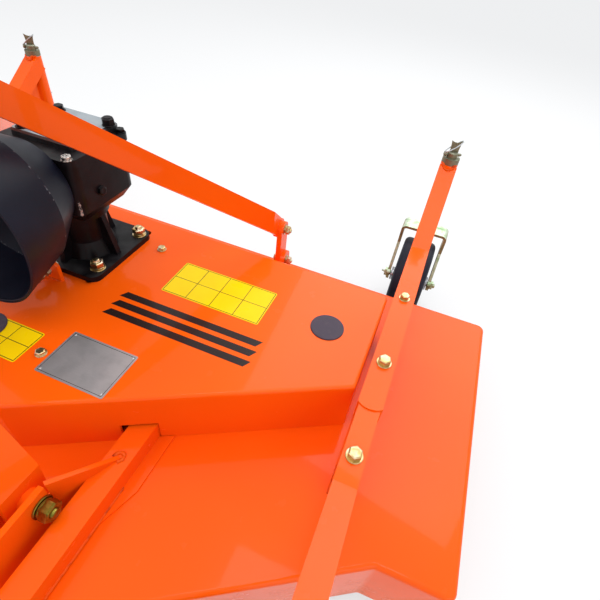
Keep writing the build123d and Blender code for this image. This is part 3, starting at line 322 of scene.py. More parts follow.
def piece(name, bm, slot, *finishes, body="root", replaces=(), sharp=38):
    """Turns a mesh into a piece of the mower that rides on a body."""
    bmesh.ops.recalc_face_normals(bm, faces=bm.faces)
    mesh = bpy.data.meshes.new(name)
    bm.to_mesh(mesh)
    bm.free()
    for one in finishes:
        mesh.materials.append(finish(one))
    mesh.polygons.foreach_set("use_smooth", [True] * len(mesh.polygons))
    mesh.set_sharp_from_angle(angle=math.radians(sharp))
    made = linked(name, mesh)
    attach(made, body)
    if replaces:
        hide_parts(*replaces)


# Shader expressions


class Value:
    """One number that varies over a surface, used in plain expressions."""

    def __init__(self, tree, socket):
        self.tree = tree
        self.socket = socket

    def _math(self, operation, *operands):
        node = self.tree.nodes.new("ShaderNodeMath")
        node.operation = operation
        for socket, operand in zip(node.inputs, operands):
            if isinstance(operand, Value):
                self.tree.links.new(operand.socket, socket)
            else:
                socket.default_value = operand
        return Value(self.tree, node.outputs[0])

    def __add__(self, other):
        return self._math("ADD", self, other)

    def __radd__(self, other):
        return self._math("ADD", other, self)

    def __sub__(self, other):
        return self._math("SUBTRACT", self, other)

    def __rsub__(self, other):
        return self._math("SUBTRACT", other, self)

    def __mul__(self, other):
        return self._math("MULTIPLY", self, other)

    def __rmul__(self, other):
        return self._math("MULTIPLY", other, self)

    def __abs__(self):
        return self._math("ABSOLUTE", self)

    def most(self, other):
        return self._math("MAXIMUM", self, other)

    def wave(self):
        return self._math("SINE", self)

    def root(self):
        return self._math("SQRT", self)


class Finish:
    """A surface finish: its material, its coordinates and the nodes that vary it."""

    def __init__(self, name):
        self.material = bpy.data.materials.new(name)
        self.material.use_nodes = True
        self.tree = self.material.node_tree
        self.shader = self.tree.nodes["Principled BSDF"]
        self.place = self.node("ShaderNodeTexCoord").outputs["Object"]

    def node(self, kind, settings=None, **sockets):
        """Adds a node: its settings first, then the values or links of its sockets."""
        node = self.tree.nodes.new(kind)
        for name, value in (settings or {}).items():
            if name == "stops":
                ramp = node.color_ramp
                while len(ramp.elements) < len(value):
                    ramp.elements.new(0.5)
                for element, (position, colour) in zip(ramp.elements, value):
                    element.position = position
                    element.color = (*colour, 1.0)
            else:
                setattr(node, name, value)
        for name, value in sockets.items():
            numbered = name[0] == "i" and name[1:].isdigit()
            key = int(name[1:]) if numbered else name.replace("_", " ")
            self.join(node.inputs[key], value)
        return node

    def join(self, socket, value):
        """Links a socket to a source, or sets it to a constant."""
        if isinstance(value, Value):
            value = value.socket
        if isinstance(value, bpy.types.NodeSocket):
            self.tree.links.new(value, socket)
        elif hasattr(value, "__len__") and len(value) == 3 and socket.type == "RGBA":
            socket.default_value = (*value, 1.0)
        else:
            socket.default_value = value

    def value(self, output, kind, settings=None, **sockets):
        """One output of a new node, for use in expressions."""
        return Value(self.tree, self.node(kind, settings, **sockets).outputs[output])

    def noise(self, scale, detail=3.0, rough=0.5, stretch=None):
        """Soft random values between 0 and 1; the scale is in waves per metre."""
        place = self.place
        if stretch:
            settings = {"operation": "MULTIPLY"}
            place = self.node("ShaderNodeVectorMath", settings, i0=place, i1=stretch).outputs[0]
        return self.value(
            "Fac", "ShaderNodeTexNoise", None, Vector=place, Scale=scale, Detail=detail,
            Roughness=rough,
        )

    def cells(self, scale):
        """Distance to scattered points, for pits, chips and grain."""
        settings = {"feature": "F1"}
        return self.value(
            "Distance", "ShaderNodeTexVoronoi", settings, Vector=self.place, Scale=scale
        )

    def step(self, value, low, high, first=0.0, second=1.0):
        """A soft step of a value from one level to another."""
        settings = {"interpolation_type": "SMOOTHSTEP", "clamp": True}
        return self.value(
            0, "ShaderNodeMapRange", settings, Value=value, From_Min=low, From_Max=high,
            To_Min=first, To_Max=second,
        )

    def near(self, point, inner, outer):
        """1 near a point of the mower, falling to 0 at the outer distance."""
        settings = {"operation": "DISTANCE"}
        away = self.value("Value", "ShaderNodeVectorMath", settings, i0=self.place, i1=point)
        return self.step(away, inner, outer, 1.0, 0.0)

    def axis(self, name):
        """One coordinate of the surface, in metres."""
        return self.value(name, "ShaderNodeSeparateXYZ", None, i0=self.place)

    def facing(self, name):
        """How far the surface looks along one axis of the mower, between -1 and 1."""
        normal = self.node("ShaderNodeTexCoord").outputs["Normal"]
        return self.value(name, "ShaderNodeSeparateXYZ", None, i0=normal)

    def blend(self, share, first, second):
        """A colour between two colours."""
        settings = {"data_type": "RGBA", "blend_type": "MIX"}
        return self.node("ShaderNodeMix", settings, i0=share, i6=first, i7=second).outputs[2]

    def ramp(self, value, *stops):
        """A colour from stops of a position and a colour."""
        return self.node("ShaderNodeValToRGB", {"stops": stops}, Fac=value).outputs["Color"]

    def relief(self, height, distance, strength, under=None):
        """A bump of a height in metres, laid over another bump if one is given."""
        bump = self.node(
            "ShaderNodeBump", None, Height=height, Distance=distance, Strength=strength
        )
        if under is not None:
            self.join(bump.inputs["Normal"], under)
        return bump.outputs["Normal"]

    def done(self, **sockets):
        """Joins what was worked up to the shader."""
        for name, value in sockets.items():
            self.join(self.shader.inputs[name.replace("_", " ")], value)


RECIPES = {}
made_finishes = {}


def recipe(paint):
    """Keeps a function that works up a finish, under its name."""
    RECIPES[paint.__name__] = paint
    return paint


def finish(name):
    """The finished material of a name, made once."""
    if name not in made_finishes:
        made_finishes[name] = Finish(name)
        RECIPES[name](made_finishes[name])
    return made_finishes[name].material


def tone(*colour):
    """A colour written in screen values as the shader's own values."""
    return tuple(
        value / 12.92 if value <= 0.04045 else ((value + 0.055) / 1.055) ** 2.4 for value in colour
    )


def times(colour, red, green, blue):
    """A colour with each channel multiplied."""
    return tuple(value * share for value, share in zip(colour, (red, green, blue)))


def shades():
    return bpy.context.scene.mower_colours


@recipe
def orange_paint(f):
    """Glossy orange enamel on folded sheet, with road dust low down."""
    tint = tone(*shades().paint)
    cloudy = f.noise(19.0, 4.0, 0.6)
    specks = f.step(f.cells(240.0), 0.05, 0.12, 1.0, 0.0) * f.step(f.noise(24.0), 0.56, 0.7)
    dust = f.step(f.axis("Z"), 0.05, 0.2, 0.5, 0.0) * f.step(cloudy, 0.35, 0.75)
    deeper = f.step(f.noise(2.6, 2.0), 0.3, 0.75) * 0.5
    colour = f.blend(deeper, tint, times(tint, 0.86, 0.7, 0.55))
    colour = f.blend(dust, colour, tone(0.56, 0.47, 0.36))
    colour = f.blend(specks * 0.5, colour, tone(0.45, 0.2, 0.1))
    rough = 0.2 + f.step(cloudy, 0.4, 0.8) * 0.1 + dust * 0.4 + specks * 0.3
    peel = f.relief(f.noise(420.0, 2.0, 0.4), 0.00004, 0.6)
    ripple = f.relief(f.noise(8.0, 1.0), 0.0012, 0.35, peel)
    f.done(
        Base_Color=colour, Roughness=rough, Normal=ripple, Coat_Weight=0.22, Coat_Roughness=0.04,
        Specular_IOR_Level=0.08,
    )


@recipe
def weld_paint(f):
    """The same enamel over weld metal: duller, with soot in the ripples."""
    soot = f.step(f.noise(60.0, 3.0), 0.5, 0.75)
    colour = f.blend(0.3 + soot * 0.5, tone(*shades().paint), tone(0.6, 0.14, 0.03))
    f.done(
        Base_Color=colour, Roughness=0.4 + soot * 0.2, Coat_Weight=0.1, Coat_Roughness=0.2,
        Normal=f.relief(f.noise(380.0, 4.0, 0.7), 0.0004, 0.8), Specular_IOR_Level=0.1,
    )


@recipe
def gearbox_black(f):
    """Gloss black paint over sand-cast iron, worn bright on its corners."""
    tint = tone(*shades().casting)
    broad = f.noise(34.0, 3.0)
    corner = 6.5 * MM
    across = abs(abs(f.axis("X")) - (gear_high.x - corner))
    along = abs(f.axis("Y") - (gear_low.y + BOSS_DEPTH + corner))
    edge = f.step(across.most(along), 2 * MM, 7 * MM, 1.0, 0.0)
    lower = f.step(f.axis("Z"), 480 * MM, 500 * MM)
    worn = edge * lower * f.step(f.axis("Z"), 520 * MM, 560 * MM, 1.0, 0.0)
    worn = worn.most(f.near((50 * MM, 66 * MM, 466 * MM), 4 * MM, 17 * MM))
    chips = f.step(worn * 0.68 + f.noise(210.0, 5.0, 0.8) * 0.75, 0.98, 1.12)
    dust = f.step(f.facing("Z"), 0.5, 0.98) * f.step(f.noise(40.0, 4.0), 0.3, 0.75)
    colour = f.blend(f.step(broad, 0.35, 0.7), tint, times(tint, 1.9, 1.9, 1.9))
    colour = f.blend(dust * 0.1, colour, tone(0.5, 0.5, 0.5))
    colour = f.blend(chips, colour, tone(0.72, 0.72, 0.7))
    sand = f.relief(f.noise(520.0, 4.0, 0.65), 0.00035, 0.7)
    f.done(
        Base_Color=colour, Roughness=0.3 + f.step(broad, 0.3, 0.7) * 0.14 + dust * 0.2,
        Metallic=chips * 0.8, Normal=f.relief(broad, 0.0012, 0.4, sand), Coat_Weight=0.06,
        Coat_Roughness=0.12, Specular_IOR_Level=0.12,
    )


@recipe
def scuffed_head(f):
    """A bolt head whose black paint has been knocked off by a spanner."""
    chips = f.step(f.noise(240.0, 5.0, 0.75), 0.42, 0.55)
    f.done(
        Base_Color=f.blend(chips, tone(0.06, 0.055, 0.06), tone(0.85, 0.83, 0.8)),
        Metallic=chips * 0.7, Roughness=0.5 - chips * 0.12, Normal=f.relief(chips, 0.0002, 0.6),
    )


@recipe
def cover_grey(f):
    """Smooth machined cover plate, thinly painted; its upward faces are painted pale grey as a painted reflection
    of the sky.
    """
    broad = f.noise(26.0, 3.0)
    # Painted reflection: faces that look up are painted pale grey like sky sheen, the other faces dark
    upward_painted_sheen = f.step(f.facing("Z"), 0.75, 0.97)
    colour = f.blend(upward_painted_sheen, tone(0.1, 0.1, 0.11), tone(0.56, 0.6, 0.62))
    colour = f.blend(f.step(broad, 0.45, 0.8) * 0.3, colour, tone(0.38, 0.42, 0.45))
    f.done(
        Base_Color=colour, Roughness=0.36 + f.step(broad, 0.3, 0.7) * 0.12, Coat_Weight=0.3,
        Normal=f.relief(f.noise(460.0, 4.0, 0.6), 0.00018, 0.6), Coat_Roughness=0.2,
    )


@recipe
def shield_plastic(f):
    """Blue-black moulded plastic, whitened along its ridge: partly scuffs, partly a painted highlight."""
    tint = tone(*shades().shield)
    broad = f.noise(14.0, 3.0)
    across = f.axis("X")
    up = f.axis("Z") - INPUT_Z
    reach = (across * across + up * up).root()
    # The white along the ridge is part scuff and part a painted highlight of the ridge, broken up by noise
    ridge = f.step(abs(f.axis("Y") - SHIELD_RIDGE), 1.2 * MM, 4.5 * MM, 1.0, 0.0)
    ridge = ridge * f.step(reach, 118 * MM, 123 * MM)
    ridge_scuff_and_highlight = f.step(ridge * 0.8 + f.noise(90.0, 5.0, 0.75) * 0.5, 1.06, 1.2)
    scratch = f.step(f.noise(60.0, 5.0, 0.7, (1.0, 6.0, 1.0)), 0.66, 0.72)
    colour = f.blend(f.step(broad, 0.3, 0.75) * 0.6, tint, times(tint, 1.7, 1.7, 1.7))
    colour = f.blend(scratch * 0.12, colour, tone(0.45, 0.46, 0.5))
    colour = f.blend(ridge_scuff_and_highlight * 0.75, colour, tone(0.62, 0.62, 0.64))
    f.done(
        Base_Color=colour, Roughness=0.36 + f.step(broad, 0.3, 0.7) * 0.1 + scratch * 0.12,
        Normal=f.relief(f.noise(700.0, 3.0, 0.5), 0.0001, 0.5), Specular_IOR_Level=0.12,
    )


@recipe
def cap_plastic(f):
    """Dull plum-black moulded plug."""
    dust = f.step(f.noise(90.0, 4.0, 0.7), 0.5, 0.8)
    colour = f.blend(f.noise(50.0, 3.0), tone(0.24, 0.18, 0.25), tone(0.2, 0.16, 0.22))
    f.done(
        Base_Color=f.blend(dust * 0.12, colour, tone(0.6, 0.55, 0.52)),
        Roughness=0.62 + dust * 0.15, Normal=f.relief(f.noise(900.0, 3.0, 0.6), 0.0002, 0.7),
    )


def zinc(f, pale, gold, shade):
    """Chromated zinc plate, shifting between three shades."""
    fine = f.noise(160.0, 4.0, 0.6)
    drift = f.noise(38.0, 3.0, 0.55) * 0.7 + fine * 0.3
    colour = f.ramp(drift, (0.3, pale), (0.47, gold), (0.58, pale), (0.72, shade))
    stain = f.step(f.noise(75.0, 5.0, 0.7), 0.6, 0.78)
    f.done(
        Base_Color=f.blend(stain * 0.45, colour, tone(0.36, 0.27, 0.14)), Metallic=1.0,
        Roughness=0.26 + stain * 0.25 + fine * 0.1, Normal=f.relief(fine, 0.0001, 0.5),
    )


@recipe
def bolt_zinc(f):
    zinc(f, tone(0.82, 0.76, 0.63), tone(0.74, 0.63, 0.4), tone(0.78, 0.62, 0.6))


@recipe
def white_zinc(f):
    zinc(f, tone(0.8, 0.82, 0.84), tone(0.72, 0.73, 0.74), tone(0.62, 0.62, 0.62))


@recipe
def pivot_zinc(f):
    zinc(f, tone(0.6, 0.56, 0.26), tone(0.46, 0.42, 0.16), tone(0.66, 0.58, 0.34))


@recipe
def yellow_zinc(f):
    """Chromated plate: brown down its edges, with a painted pale green highlight on faces that look up, greyer at
    the collars.
    """
    drift = f.noise(30.0, 3.0, 0.55)
    fine = f.noise(160.0, 4.0, 0.6)
    # Painted highlight: faces that look up blend to the pale green-white ramp, the sides keep the brown chromate
    upward_painted_sheen = f.step(f.facing("Z") + drift * 0.3, 0.35, 0.95)
    collar = f.step(f.axis("Z"), COLLAR_LOW - 2 * MM, COLLAR_LOW)
    side = f.ramp(
        drift * 0.7 + fine * 0.3, (0.3, tone(0.5, 0.4, 0.24)), (0.5, tone(0.66, 0.56, 0.38)),
        (0.7, tone(0.42, 0.32, 0.2)),
    )
    # This pale green-white ramp is the painted highlight of the top faces
    top = f.ramp(
        drift, (0.32, tone(0.66, 0.77, 0.6)), (0.5, tone(0.86, 0.91, 0.82)),
        (0.68, tone(0.56, 0.7, 0.5)),
    )
    colour = f.blend(collar * 0.8, f.blend(upward_painted_sheen, side, top), tone(0.44, 0.42, 0.35))
    stain = f.step(f.noise(75.0, 5.0, 0.7), 0.6, 0.78)
    f.done(
        Base_Color=f.blend(stain * 0.4, colour, tone(0.33, 0.25, 0.13)), Metallic=0.7,
        Roughness=0.42 + stain * 0.2 + fine * 0.1, Normal=f.relief(fine, 0.0001, 0.5),
    )


@recipe
def rim_steel(f):
    """Pressed wheel centre in satin grey, muddy in patches."""
    mud = f.step(f.noise(22.0, 5.0, 0.7), 0.52, 0.75)
    colour = f.blend(f.noise(30.0, 4.0, 0.6), tone(0.72, 0.73, 0.75), tone(0.6, 0.61, 0.63))
    f.done(
        Base_Color=f.blend(mud * 0.4, colour, tone(0.5, 0.43, 0.34)), Metallic=0.35,
        Roughness=0.38 + mud * 0.3, Normal=f.relief(f.noise(500.0, 3.0), 0.0001, 0.6),
    )


@recipe
def bare_steel(f):
    """Oiled steel with drawn lines, flecked with rust."""
    drawn = f.noise(90.0, 4.0, 0.6, (1.0, 8.0, 1.0))
    rust = f.step(f.noise(55.0, 5.0, 0.75), 0.55, 0.7)
    colour = f.blend(drawn, tone(0.66, 0.66, 0.67), tone(0.5, 0.5, 0.52))
    f.done(
        Base_Color=f.blend(rust * 0.7, colour, tone(0.42, 0.24, 0.13)),
        Metallic=1.0 - rust * 0.7, Roughness=0.34 + rust * 0.4, Normal=f.relief(drawn, 0.0002, 0.5),
    )


@recipe
def tyre_rubber(f):
    """Solid rubber, blue-black with a dusty bloom and fine crazing."""
    bloom = f.step(f.noise(20.0, 4.0, 0.6), 0.4, 0.75)
    craze = f.relief(f.step(f.cells(320.0), 0.1, 0.35), 0.0002, 0.4)
    f.done(
        Base_Color=f.blend(bloom * 0.25, tone(*shades().rubber), tone(0.25, 0.26, 0.29)),
        Normal=f.relief(f.noise(260.0, 4.0, 0.7), 0.0003, 0.5, craze),
        Roughness=0.45 + bloom * 0.2, Specular_IOR_Level=0.2,
    )


@recipe
def flap_rubber(f):
    """Reinforced rubber sheet with a cloth grain and dried grass dust."""
    weave = (f.axis("X") * 2600.0).wave() * (f.axis("Z") * 2600.0).wave()
    dust = f.step(f.noise(16.0, 5.0, 0.7, (1.0, 1.0, 0.3)), 0.45, 0.8)
    f.done(
        Base_Color=f.blend(dust * 0.35, tone(0.13, 0.13, 0.13), tone(0.42, 0.4, 0.3)),
        Roughness=0.72 + dust * 0.15, Normal=f.relief(weave, 0.0002, 0.5),
    )


@recipe
def sign_yellow(f):
    """Printed yellow film with its fine roll grain."""
    fade = f.noise(24.0, 3.0)
    f.done(
        Base_Color=f.blend(fade, tone(1.0, 0.86, 0.02), tone(0.96, 0.79, 0.0)),
        Roughness=0.24 + fade * 0.1, Normal=f.relief(f.noise(800.0, 2.0), 0.00003, 0.5),
        Coat_Weight=0.1, Specular_IOR_Level=0.15,
    )


@recipe
def print_black(f):
    """Black printed lines and stripes, slightly greyed by wear."""
    wear = f.step(f.noise(180.0, 5.0, 0.75), 0.6, 0.8)
    f.done(
        Base_Color=f.blend(wear * 0.3, tone(0.16, 0.11, 0.1), tone(0.32, 0.22, 0.18)),
        Roughness=0.25 + wear * 0.2, Normal=f.relief(wear, 0.00003, 0.5), Coat_Weight=0.1,
        Specular_IOR_Level=0.2,
    )


@recipe
def plate_silver(f):
    """Brushed aluminium data plate."""
    brushed = f.noise(70.0, 4.0, 0.6, (1.0, 22.0, 1.0))
    colour = f.blend(brushed, tone(0.66, 0.65, 0.65), tone(0.76, 0.75, 0.75))
    cloud = f.step(f.noise(30.0, 3.0), 0.4, 0.75)
    f.done(
        Base_Color=f.blend(cloud * 0.4, colour, tone(0.56, 0.55, 0.56)), Metallic=0.75,
        Roughness=0.34 + brushed * 0.14, Normal=f.relief(brushed, 0.00008, 0.5),
    )


# Slots and nodes whose finish has another name than the slot
SLOT_FINISHES = {"tyre": "tyre_rubber"}
NODE_FINISHES = {"gearbox_cover": "cover_grey", "input_shaft": "bare_steel"}


# What a user may change


class MowerColours(PropertyGroup):
    paint: FloatVectorProperty(
        name="Paint", description="Enamel of the deck, arms and mast", subtype="COLOR_GAMMA",
        min=0, max=1, default=(1.0, 0.38, 0.04),
    )
    casting: FloatVectorProperty(
        name="Castings", description="Paint of the gearbox and spindle housings",
        subtype="COLOR_GAMMA", min=0, max=1, default=(0.05, 0.04, 0.05),
    )
    shield: FloatVectorProperty(
        name="Shaft shield", description="Plastic of the input shaft's bell", subtype="COLOR_GAMMA",
        min=0, max=1, default=(0.06, 0.065, 0.11),
    )
    rubber: FloatVectorProperty(
        name="Tyres", description="Rubber of the caster wheels", subtype="COLOR_GAMMA",
        min=0, max=1, default=(0.1, 0.115, 0.17),
    )


class MowerSizes(PropertyGroup):
    arm_bolt: FloatProperty(
        name="Arm bolts", description="Thread of the bolts that hold the caster arms",
        subtype="DISTANCE", default=14 * MM,
    )
    base_bolt: FloatProperty(
        name="Gearbox bolts", description="Thread of the bolts through the gearbox flange",
        subtype="DISTANCE", default=16 * MM,
    )
    sheet_bolt: FloatProperty(
        name="Housing bolts", description="Thread of the small bolts in the belt housing",
        subtype="DISTANCE", default=10 * MM,
    )
    joint_bolt: FloatProperty(
        name="Link bolts", description="Thread of the bolts in the braces and links",
        subtype="DISTANCE", default=12 * MM,
    )
    bead: FloatProperty(
        name="Weld bead", description="Half width of a weld bead", subtype="DISTANCE",
        default=2.6 * MM,
    )
    tread_grooves: IntProperty(
        name="Tread grooves", description="Grooves round each caster tyre", default=2, min=0, max=4
    )


class MowerStage(PropertyGroup):
    sky: FloatProperty(
        name="Sky", description="Level of the soft light from all round", default=0.8
    )
    panel: FloatProperty(
        name="Sky panel", description="Power of the large panel behind the mower",
        subtype="POWER", unit="POWER", default=48.0,
    )
    key: FloatProperty(
        name="Key lamp", description="Power of the front lamp", subtype="POWER",
        unit="POWER", default=34.0,
    )
    fill: FloatProperty(
        name="Fill lamp", description="Power of the low front lamp", subtype="POWER",
        unit="POWER", default=12.0,
    )
    lens: FloatProperty(
        name="Lens", description="Focal length on a 36 mm frame", default=25.98
    )


def sizes():
    return bpy.context.scene.mower_sizes


# Pieces


class MOWER_OT_frame_finishes(Operator):
    """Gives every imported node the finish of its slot"""

    bl_idname = "mower.frame_finishes"
    bl_label = "Finishes of the packed nodes"

    def execute(self, context):
        slots = {row["node"]: row["material_slot"] for row in frame["record"]["subparts"]}
        for name, node in NODES.items():
            slot = slots[name]
            wanted = NODE_FINISHES.get(name, SLOT_FINISHES.get(slot, slot))
            node.data.materials.clear()
            node.data.materials.append(finish(wanted))
        return {"FINISHED"}


class MOWER_OT_housing_bolts(Operator):
    """Small bolts in the belt housing's top"""

    bl_idname = "mower.housing_bolts"
    bl_label = "Housing bolts"

    def execute(self, context):
        bm = bmesh.new()
        for x, ahead, turn in ((143, 60, 0.2), (134, -297, 0.6)):
            for side in (-1, 1):
                matrix = placed(plan(side * x, ahead, HOUSING_TOP), turn=turn * side)
                bolt(bm, matrix, sizes().sheet_bolt, turn=turn)
        piece("housing_bolts", bm, "yellow_zinc", "bolt_zinc")
        return {"FINISHED"}


class MOWER_OT_arm_bolts(Operator):
    """Bolts that hold the caster arms to their stands"""

    bl_idname = "mower.arm_bolts"
    bl_label = "Arm bolts"

    def execute(self, context):
        bm = bmesh.new()
        size = sizes().arm_bolt
        channel_top, tube_top = HOUSING_TOP, HOUSING_TOP - TUBE_UNDER_CHANNEL
        rows = (
            (-38, channel_top, 0.4, 1.0), (168, channel_top, 0.15, 0.84), (-246, tube_top, 0.3, 1.0)
        )
        for side, _ in SIDES:
            arm_low, arm_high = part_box(f"rear_arm_{side}")
            arm_x = (arm_low.x + arm_high.x) / 2
            for ahead, top, turn, share in rows:
                matrix = placed((arm_x, SPINDLE_LINE + ahead * MM, top), turn=turn)
                bolt(bm, matrix, size * share, turn=turn, wide=2.15, tall=0.82)
        piece("arm_bolts", bm, "yellow_zinc", "bolt_zinc")
        return {"FINISHED"}


class MOWER_OT_arm_gussets(Operator):
    """Triangular plates welded between the rear arms and their swivel sleeves"""

    bl_idname = "mower.arm_gussets"
    bl_label = "Rear arm gussets"

    def execute(self, context):
        bm = bmesh.new()
        # An outline's first number runs along the mower and its second upward
        side_view = Matrix(((0, 0, 1, 0), (1, 0, 0, 0), (0, 1, 0, 0), (0, 0, 0, 1)))
        half, foot = 4 * MM, 306 * MM
        for side, _ in SIDES:
            sleeve = joint_places[f"caster_swivel_rear_{side}"]
            arm = f"rear_arm_{side}"
            back = sleeve.y - 21 * MM
            outline = [(back, foot), (back, surface_of(arm, sleeve.x, back - 12 * MM, True))]
            for ahead in (20, 50, 80):
                y = back - ahead * MM
                outline.append((y, surface_of(arm, sleeve.x, y, True) + 1 * MM))
            matrix = Matrix.Translation((sleeve.x, 0, 0)) @ side_view
            prism(bm, matrix, outline, -half, half, bevel=0.8 * MM)
        piece("arm_gussets", bm, "orange_paint", "orange_paint")
        return {"FINISHED"}


class MOWER_OT_gearbox_fittings(Operator):
    """Flange bolts, cover bolts, breather, plugs and the bearing cap of the gearbox"""

    bl_idname = "mower.gearbox_fittings"
    bl_label = "Gearbox fittings"

    def execute(self, context):
        self.flange_bolts()
        self.plugs()
        self.bearing_caps()
        return {"FINISHED"}

    def flange_bolts(self):
        flange_low, flange_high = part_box("gearbox_pedestal")
        flange_top = HOUSING_TOP + 13 * MM
        bm = bmesh.new()
        for x in (flange_low.x + 20 * MM, flange_high.x - 20 * MM):
            for y, turn in ((flange_low.y + 35 * MM, 0.2), (flange_high.y - 25 * MM, 0.75)):
                matrix = placed((x, y, flange_top))
                bolt(bm, matrix, sizes().base_bolt, stub=5 * MM, turn=turn, wide=2.0)
        piece("gearbox_flange_bolts", bm, "yellow_zinc", "bolt_zinc")

    def plugs(self):
        bm = bmesh.new()
        rim_front = gear_low.y + BOSS_DEPTH
        for x in (-81, 81):
            for y in (rim_front + 11 * MM, rim_front + 154 * MM):
                scuffed = x > 0 and y < SPINDLE_LINE
                matrix = placed((x * MM, y, gear_high.z))
                bolt(bm, matrix, 10 * MM, turn=0.3, wide=2.0, material=1 if scuffed else 0)
        centre_y = (cover_low.y + cover_high.y) / 2
        vent, plug, filler = [
            placed((x * MM, centre_y + ahead * MM, cover_high.z))
            for x, ahead in ((66, 42), (-54, 44), (-50, -50))
        ]
        for matrix, seal, across, top, turn in (
            (vent, 12.5, 21, 15, 0.35), (plug, 12, 17, 12, 0.1), (filler, 13, 19, 16, 0.45)
        ):
            washer(bm, matrix, 5 * MM, seal * MM, 2 * MM)
            hexagon(bm, matrix, across * MM, 2 * MM, top * MM, turn=turn)
        turned(bm, vent, metres((0, 14), (8, 14), (8, 16), (0, 16.4)))
        for side, turn in ((1, 0.2), (-1, 0.5)):
            matrix = placed(plan(side * 86, -30, 530 * MM), (side, 0, 0))
            turned(bm, matrix, metres((0, 0), (15, 0), (15, 3), (12, 4.5), (0, 4.5)))
            hexagon(bm, matrix, 17 * MM, 4.5 * MM, 11 * MM, turn=turn)
        piece("gearbox_plugs", bm, "gearbox_black", "gearbox_black", "scuffed_head")

    def bearing_caps(self):
        bm = bmesh.new()
        cap = metres(
            (20, 14.2), (50, 14.2), (51.5, 15.5), (51.5, 19), (49, 20.5), (34, 21.5), (30, 25),
            (24, 25), (20, 22),
        )
        front = placed((0, gear_low.y + BOSS_DEPTH, INPUT_Z), (0, -1, 0))
        turned(bm, front, cap, count=40, closed=True)
        back = placed((0, gear_high.y - 10 * MM, INPUT_Z), (0, 1, 0))
        for matrix, axis, start, radius, height, twist in (
            (front, (0, -1, 0), 0.0, 42 * MM, 20 * MM, 0.2), (back, (0, 1, 0), 0.5, 30 * MM, 0.0, 0.3)
        ):
            for step, angle in enumerate(around(6, start)):
                place = off_axis(matrix, radius, angle, height)
                bolt(bm, placed(place, axis), 7 * MM, flat=False, turn=twist * step)
        piece("gearbox_bearing_caps", bm, "gearbox_black", "gearbox_black")


class MOWER_OT_shield_trim(Operator):
    """Rolled lip, step ring and fixing screws of the shaft shield"""

    bl_idname = "mower.shield_trim"
    bl_label = "Shield trim"

    def execute(self, context):
        shield_low, shield_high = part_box("input_shield")
        mouth = (shield_high.x - shield_low.x) / 2
        depth = shield_high.y - shield_low.y
        ahead = (0, -1, 0)
        base = placed((0, shield_high.y, INPUT_Z), ahead)
        lip = (mouth - 3.2 * MM, depth - 3.4 * MM, 2.6 * MM, 2.6 * MM, 10)
        step_ring = (126.2 * MM, 72 * MM, 0.7 * MM, 1.6 * MM, 8)
        bm = bmesh.new()
        for radius, height, wide, tall, count in (lip, step_ring):
            profile = [
                (radius + wide * math.cos(angle), height + tall * math.sin(angle))
                for angle in around(count)
            ]
            turned(bm, base, profile, count=96, closed=True)
        thick = 1.6 * MM
        for angle in around(4, 0.5):
            place = off_axis(base, 66 * MM, angle, 4.2 * MM)
            washer(bm, placed(place, ahead), 4 * MM, 9 * MM, thick)
            bolt(bm, placed(place + Vector(ahead) * thick, ahead), 8 * MM, flat=False)
        piece("shield_trim", bm, "shield_plastic", "shield_plastic")
        return {"FINISHED"}


class MOWER_OT_signs(Operator):
    """Blank plates and plain stripes on top of the belt housing"""

    bl_idname = "mower.signs"
    bl_label = "Blank signs and stripes"

    def sheet(self, bm, low, high, thick, corner):
        """A plate with round corners, from millimetres of the plan."""
        width, depth = (high[0] - low[0]) * MM, (high[1] - low[1]) * MM
        centre = plan((low[0] + high[0]) / 2, (low[1] + high[1]) / 2)
        prism(bm, ON_HOUSING, rounded(width, depth, corner, centre), 0.0, thick)

    def line(self, bm, start, end, wide, height):
        """A printed line along or across the mower."""
        grow_x, grow_y = (wide / 2, 0) if start[0] == end[0] else (0, wide / 2)
        top = HOUSING_TOP + height
        low = plan(start[0] - grow_x, start[1] - grow_y, top - 0.2 * MM)
        block(bm, low, plan(end[0] + grow_x, end[1] + grow_y, top), 1)

    def fields(self, bm, low, high, edge, columns, rows, wide, height):
        """Lines that part a plate into plain fields."""
        left, front = low[0] + edge, low[1] + edge
        right, rear = high[0] - edge, high[1] - edge
        for row in range(rows + 1):
            y = front + (rear - front) * row / rows
            self.line(bm, (left, y), (right, y), wide, height)
        for column in range(columns + 1):
            x = left + (right - left) * column / columns
            self.line(bm, (x, front), (x, rear), wide, height)

    def execute(self, context):
        for name, low, high, columns in (
            ("sign_large", (221, -59), (449, 46), 4), ("sign_small", (4, -333), (108, -259), 2)
        ):
            bm = bmesh.new()
            self.sheet(bm, low, high, 0.5 * MM, 4 * MM)
            self.fields(bm, low, high, 3, columns, 2, 1.3, 0.58 * MM)
            piece(name, bm, "orange_paint", "sign_yellow", "print_black")

        bm = bmesh.new()
        low, high, thick = (150, -330), (291, -230), 0.8 * MM
        self.sheet(bm, low, high, thick, 3 * MM)
        self.fields(bm, low, high, 4, 1, 1, 0.9, 0.86 * MM)
        for x in (157, 284):
            for ahead in (-323, -237):
                head = metres((0, 0), (2.6, 0), (2.3, 0.8), (1.2, 1.4), (0, 1.5))
                turned(bm, placed(plan(x, ahead, HOUSING_TOP + thick)), head, 16)
        piece("data_plate", bm, "bare_steel", "plate_silver", "print_black")

        bm = bmesh.new()
        left, right, half, lean = 158, 470, 8, 9
        corners = ((left, -half), (right, -half), (right + lean, half), (left + lean, half))
        for middle in (-104, -131, -158):
            outline = [plan(x, middle + y).xy for x, y in corners]
            prism(bm, ON_HOUSING, outline, 0.0, 0.35 * MM)
        piece("plain_stripes", bm, "cap_plastic", "print_black")
        return {"FINISHED"}


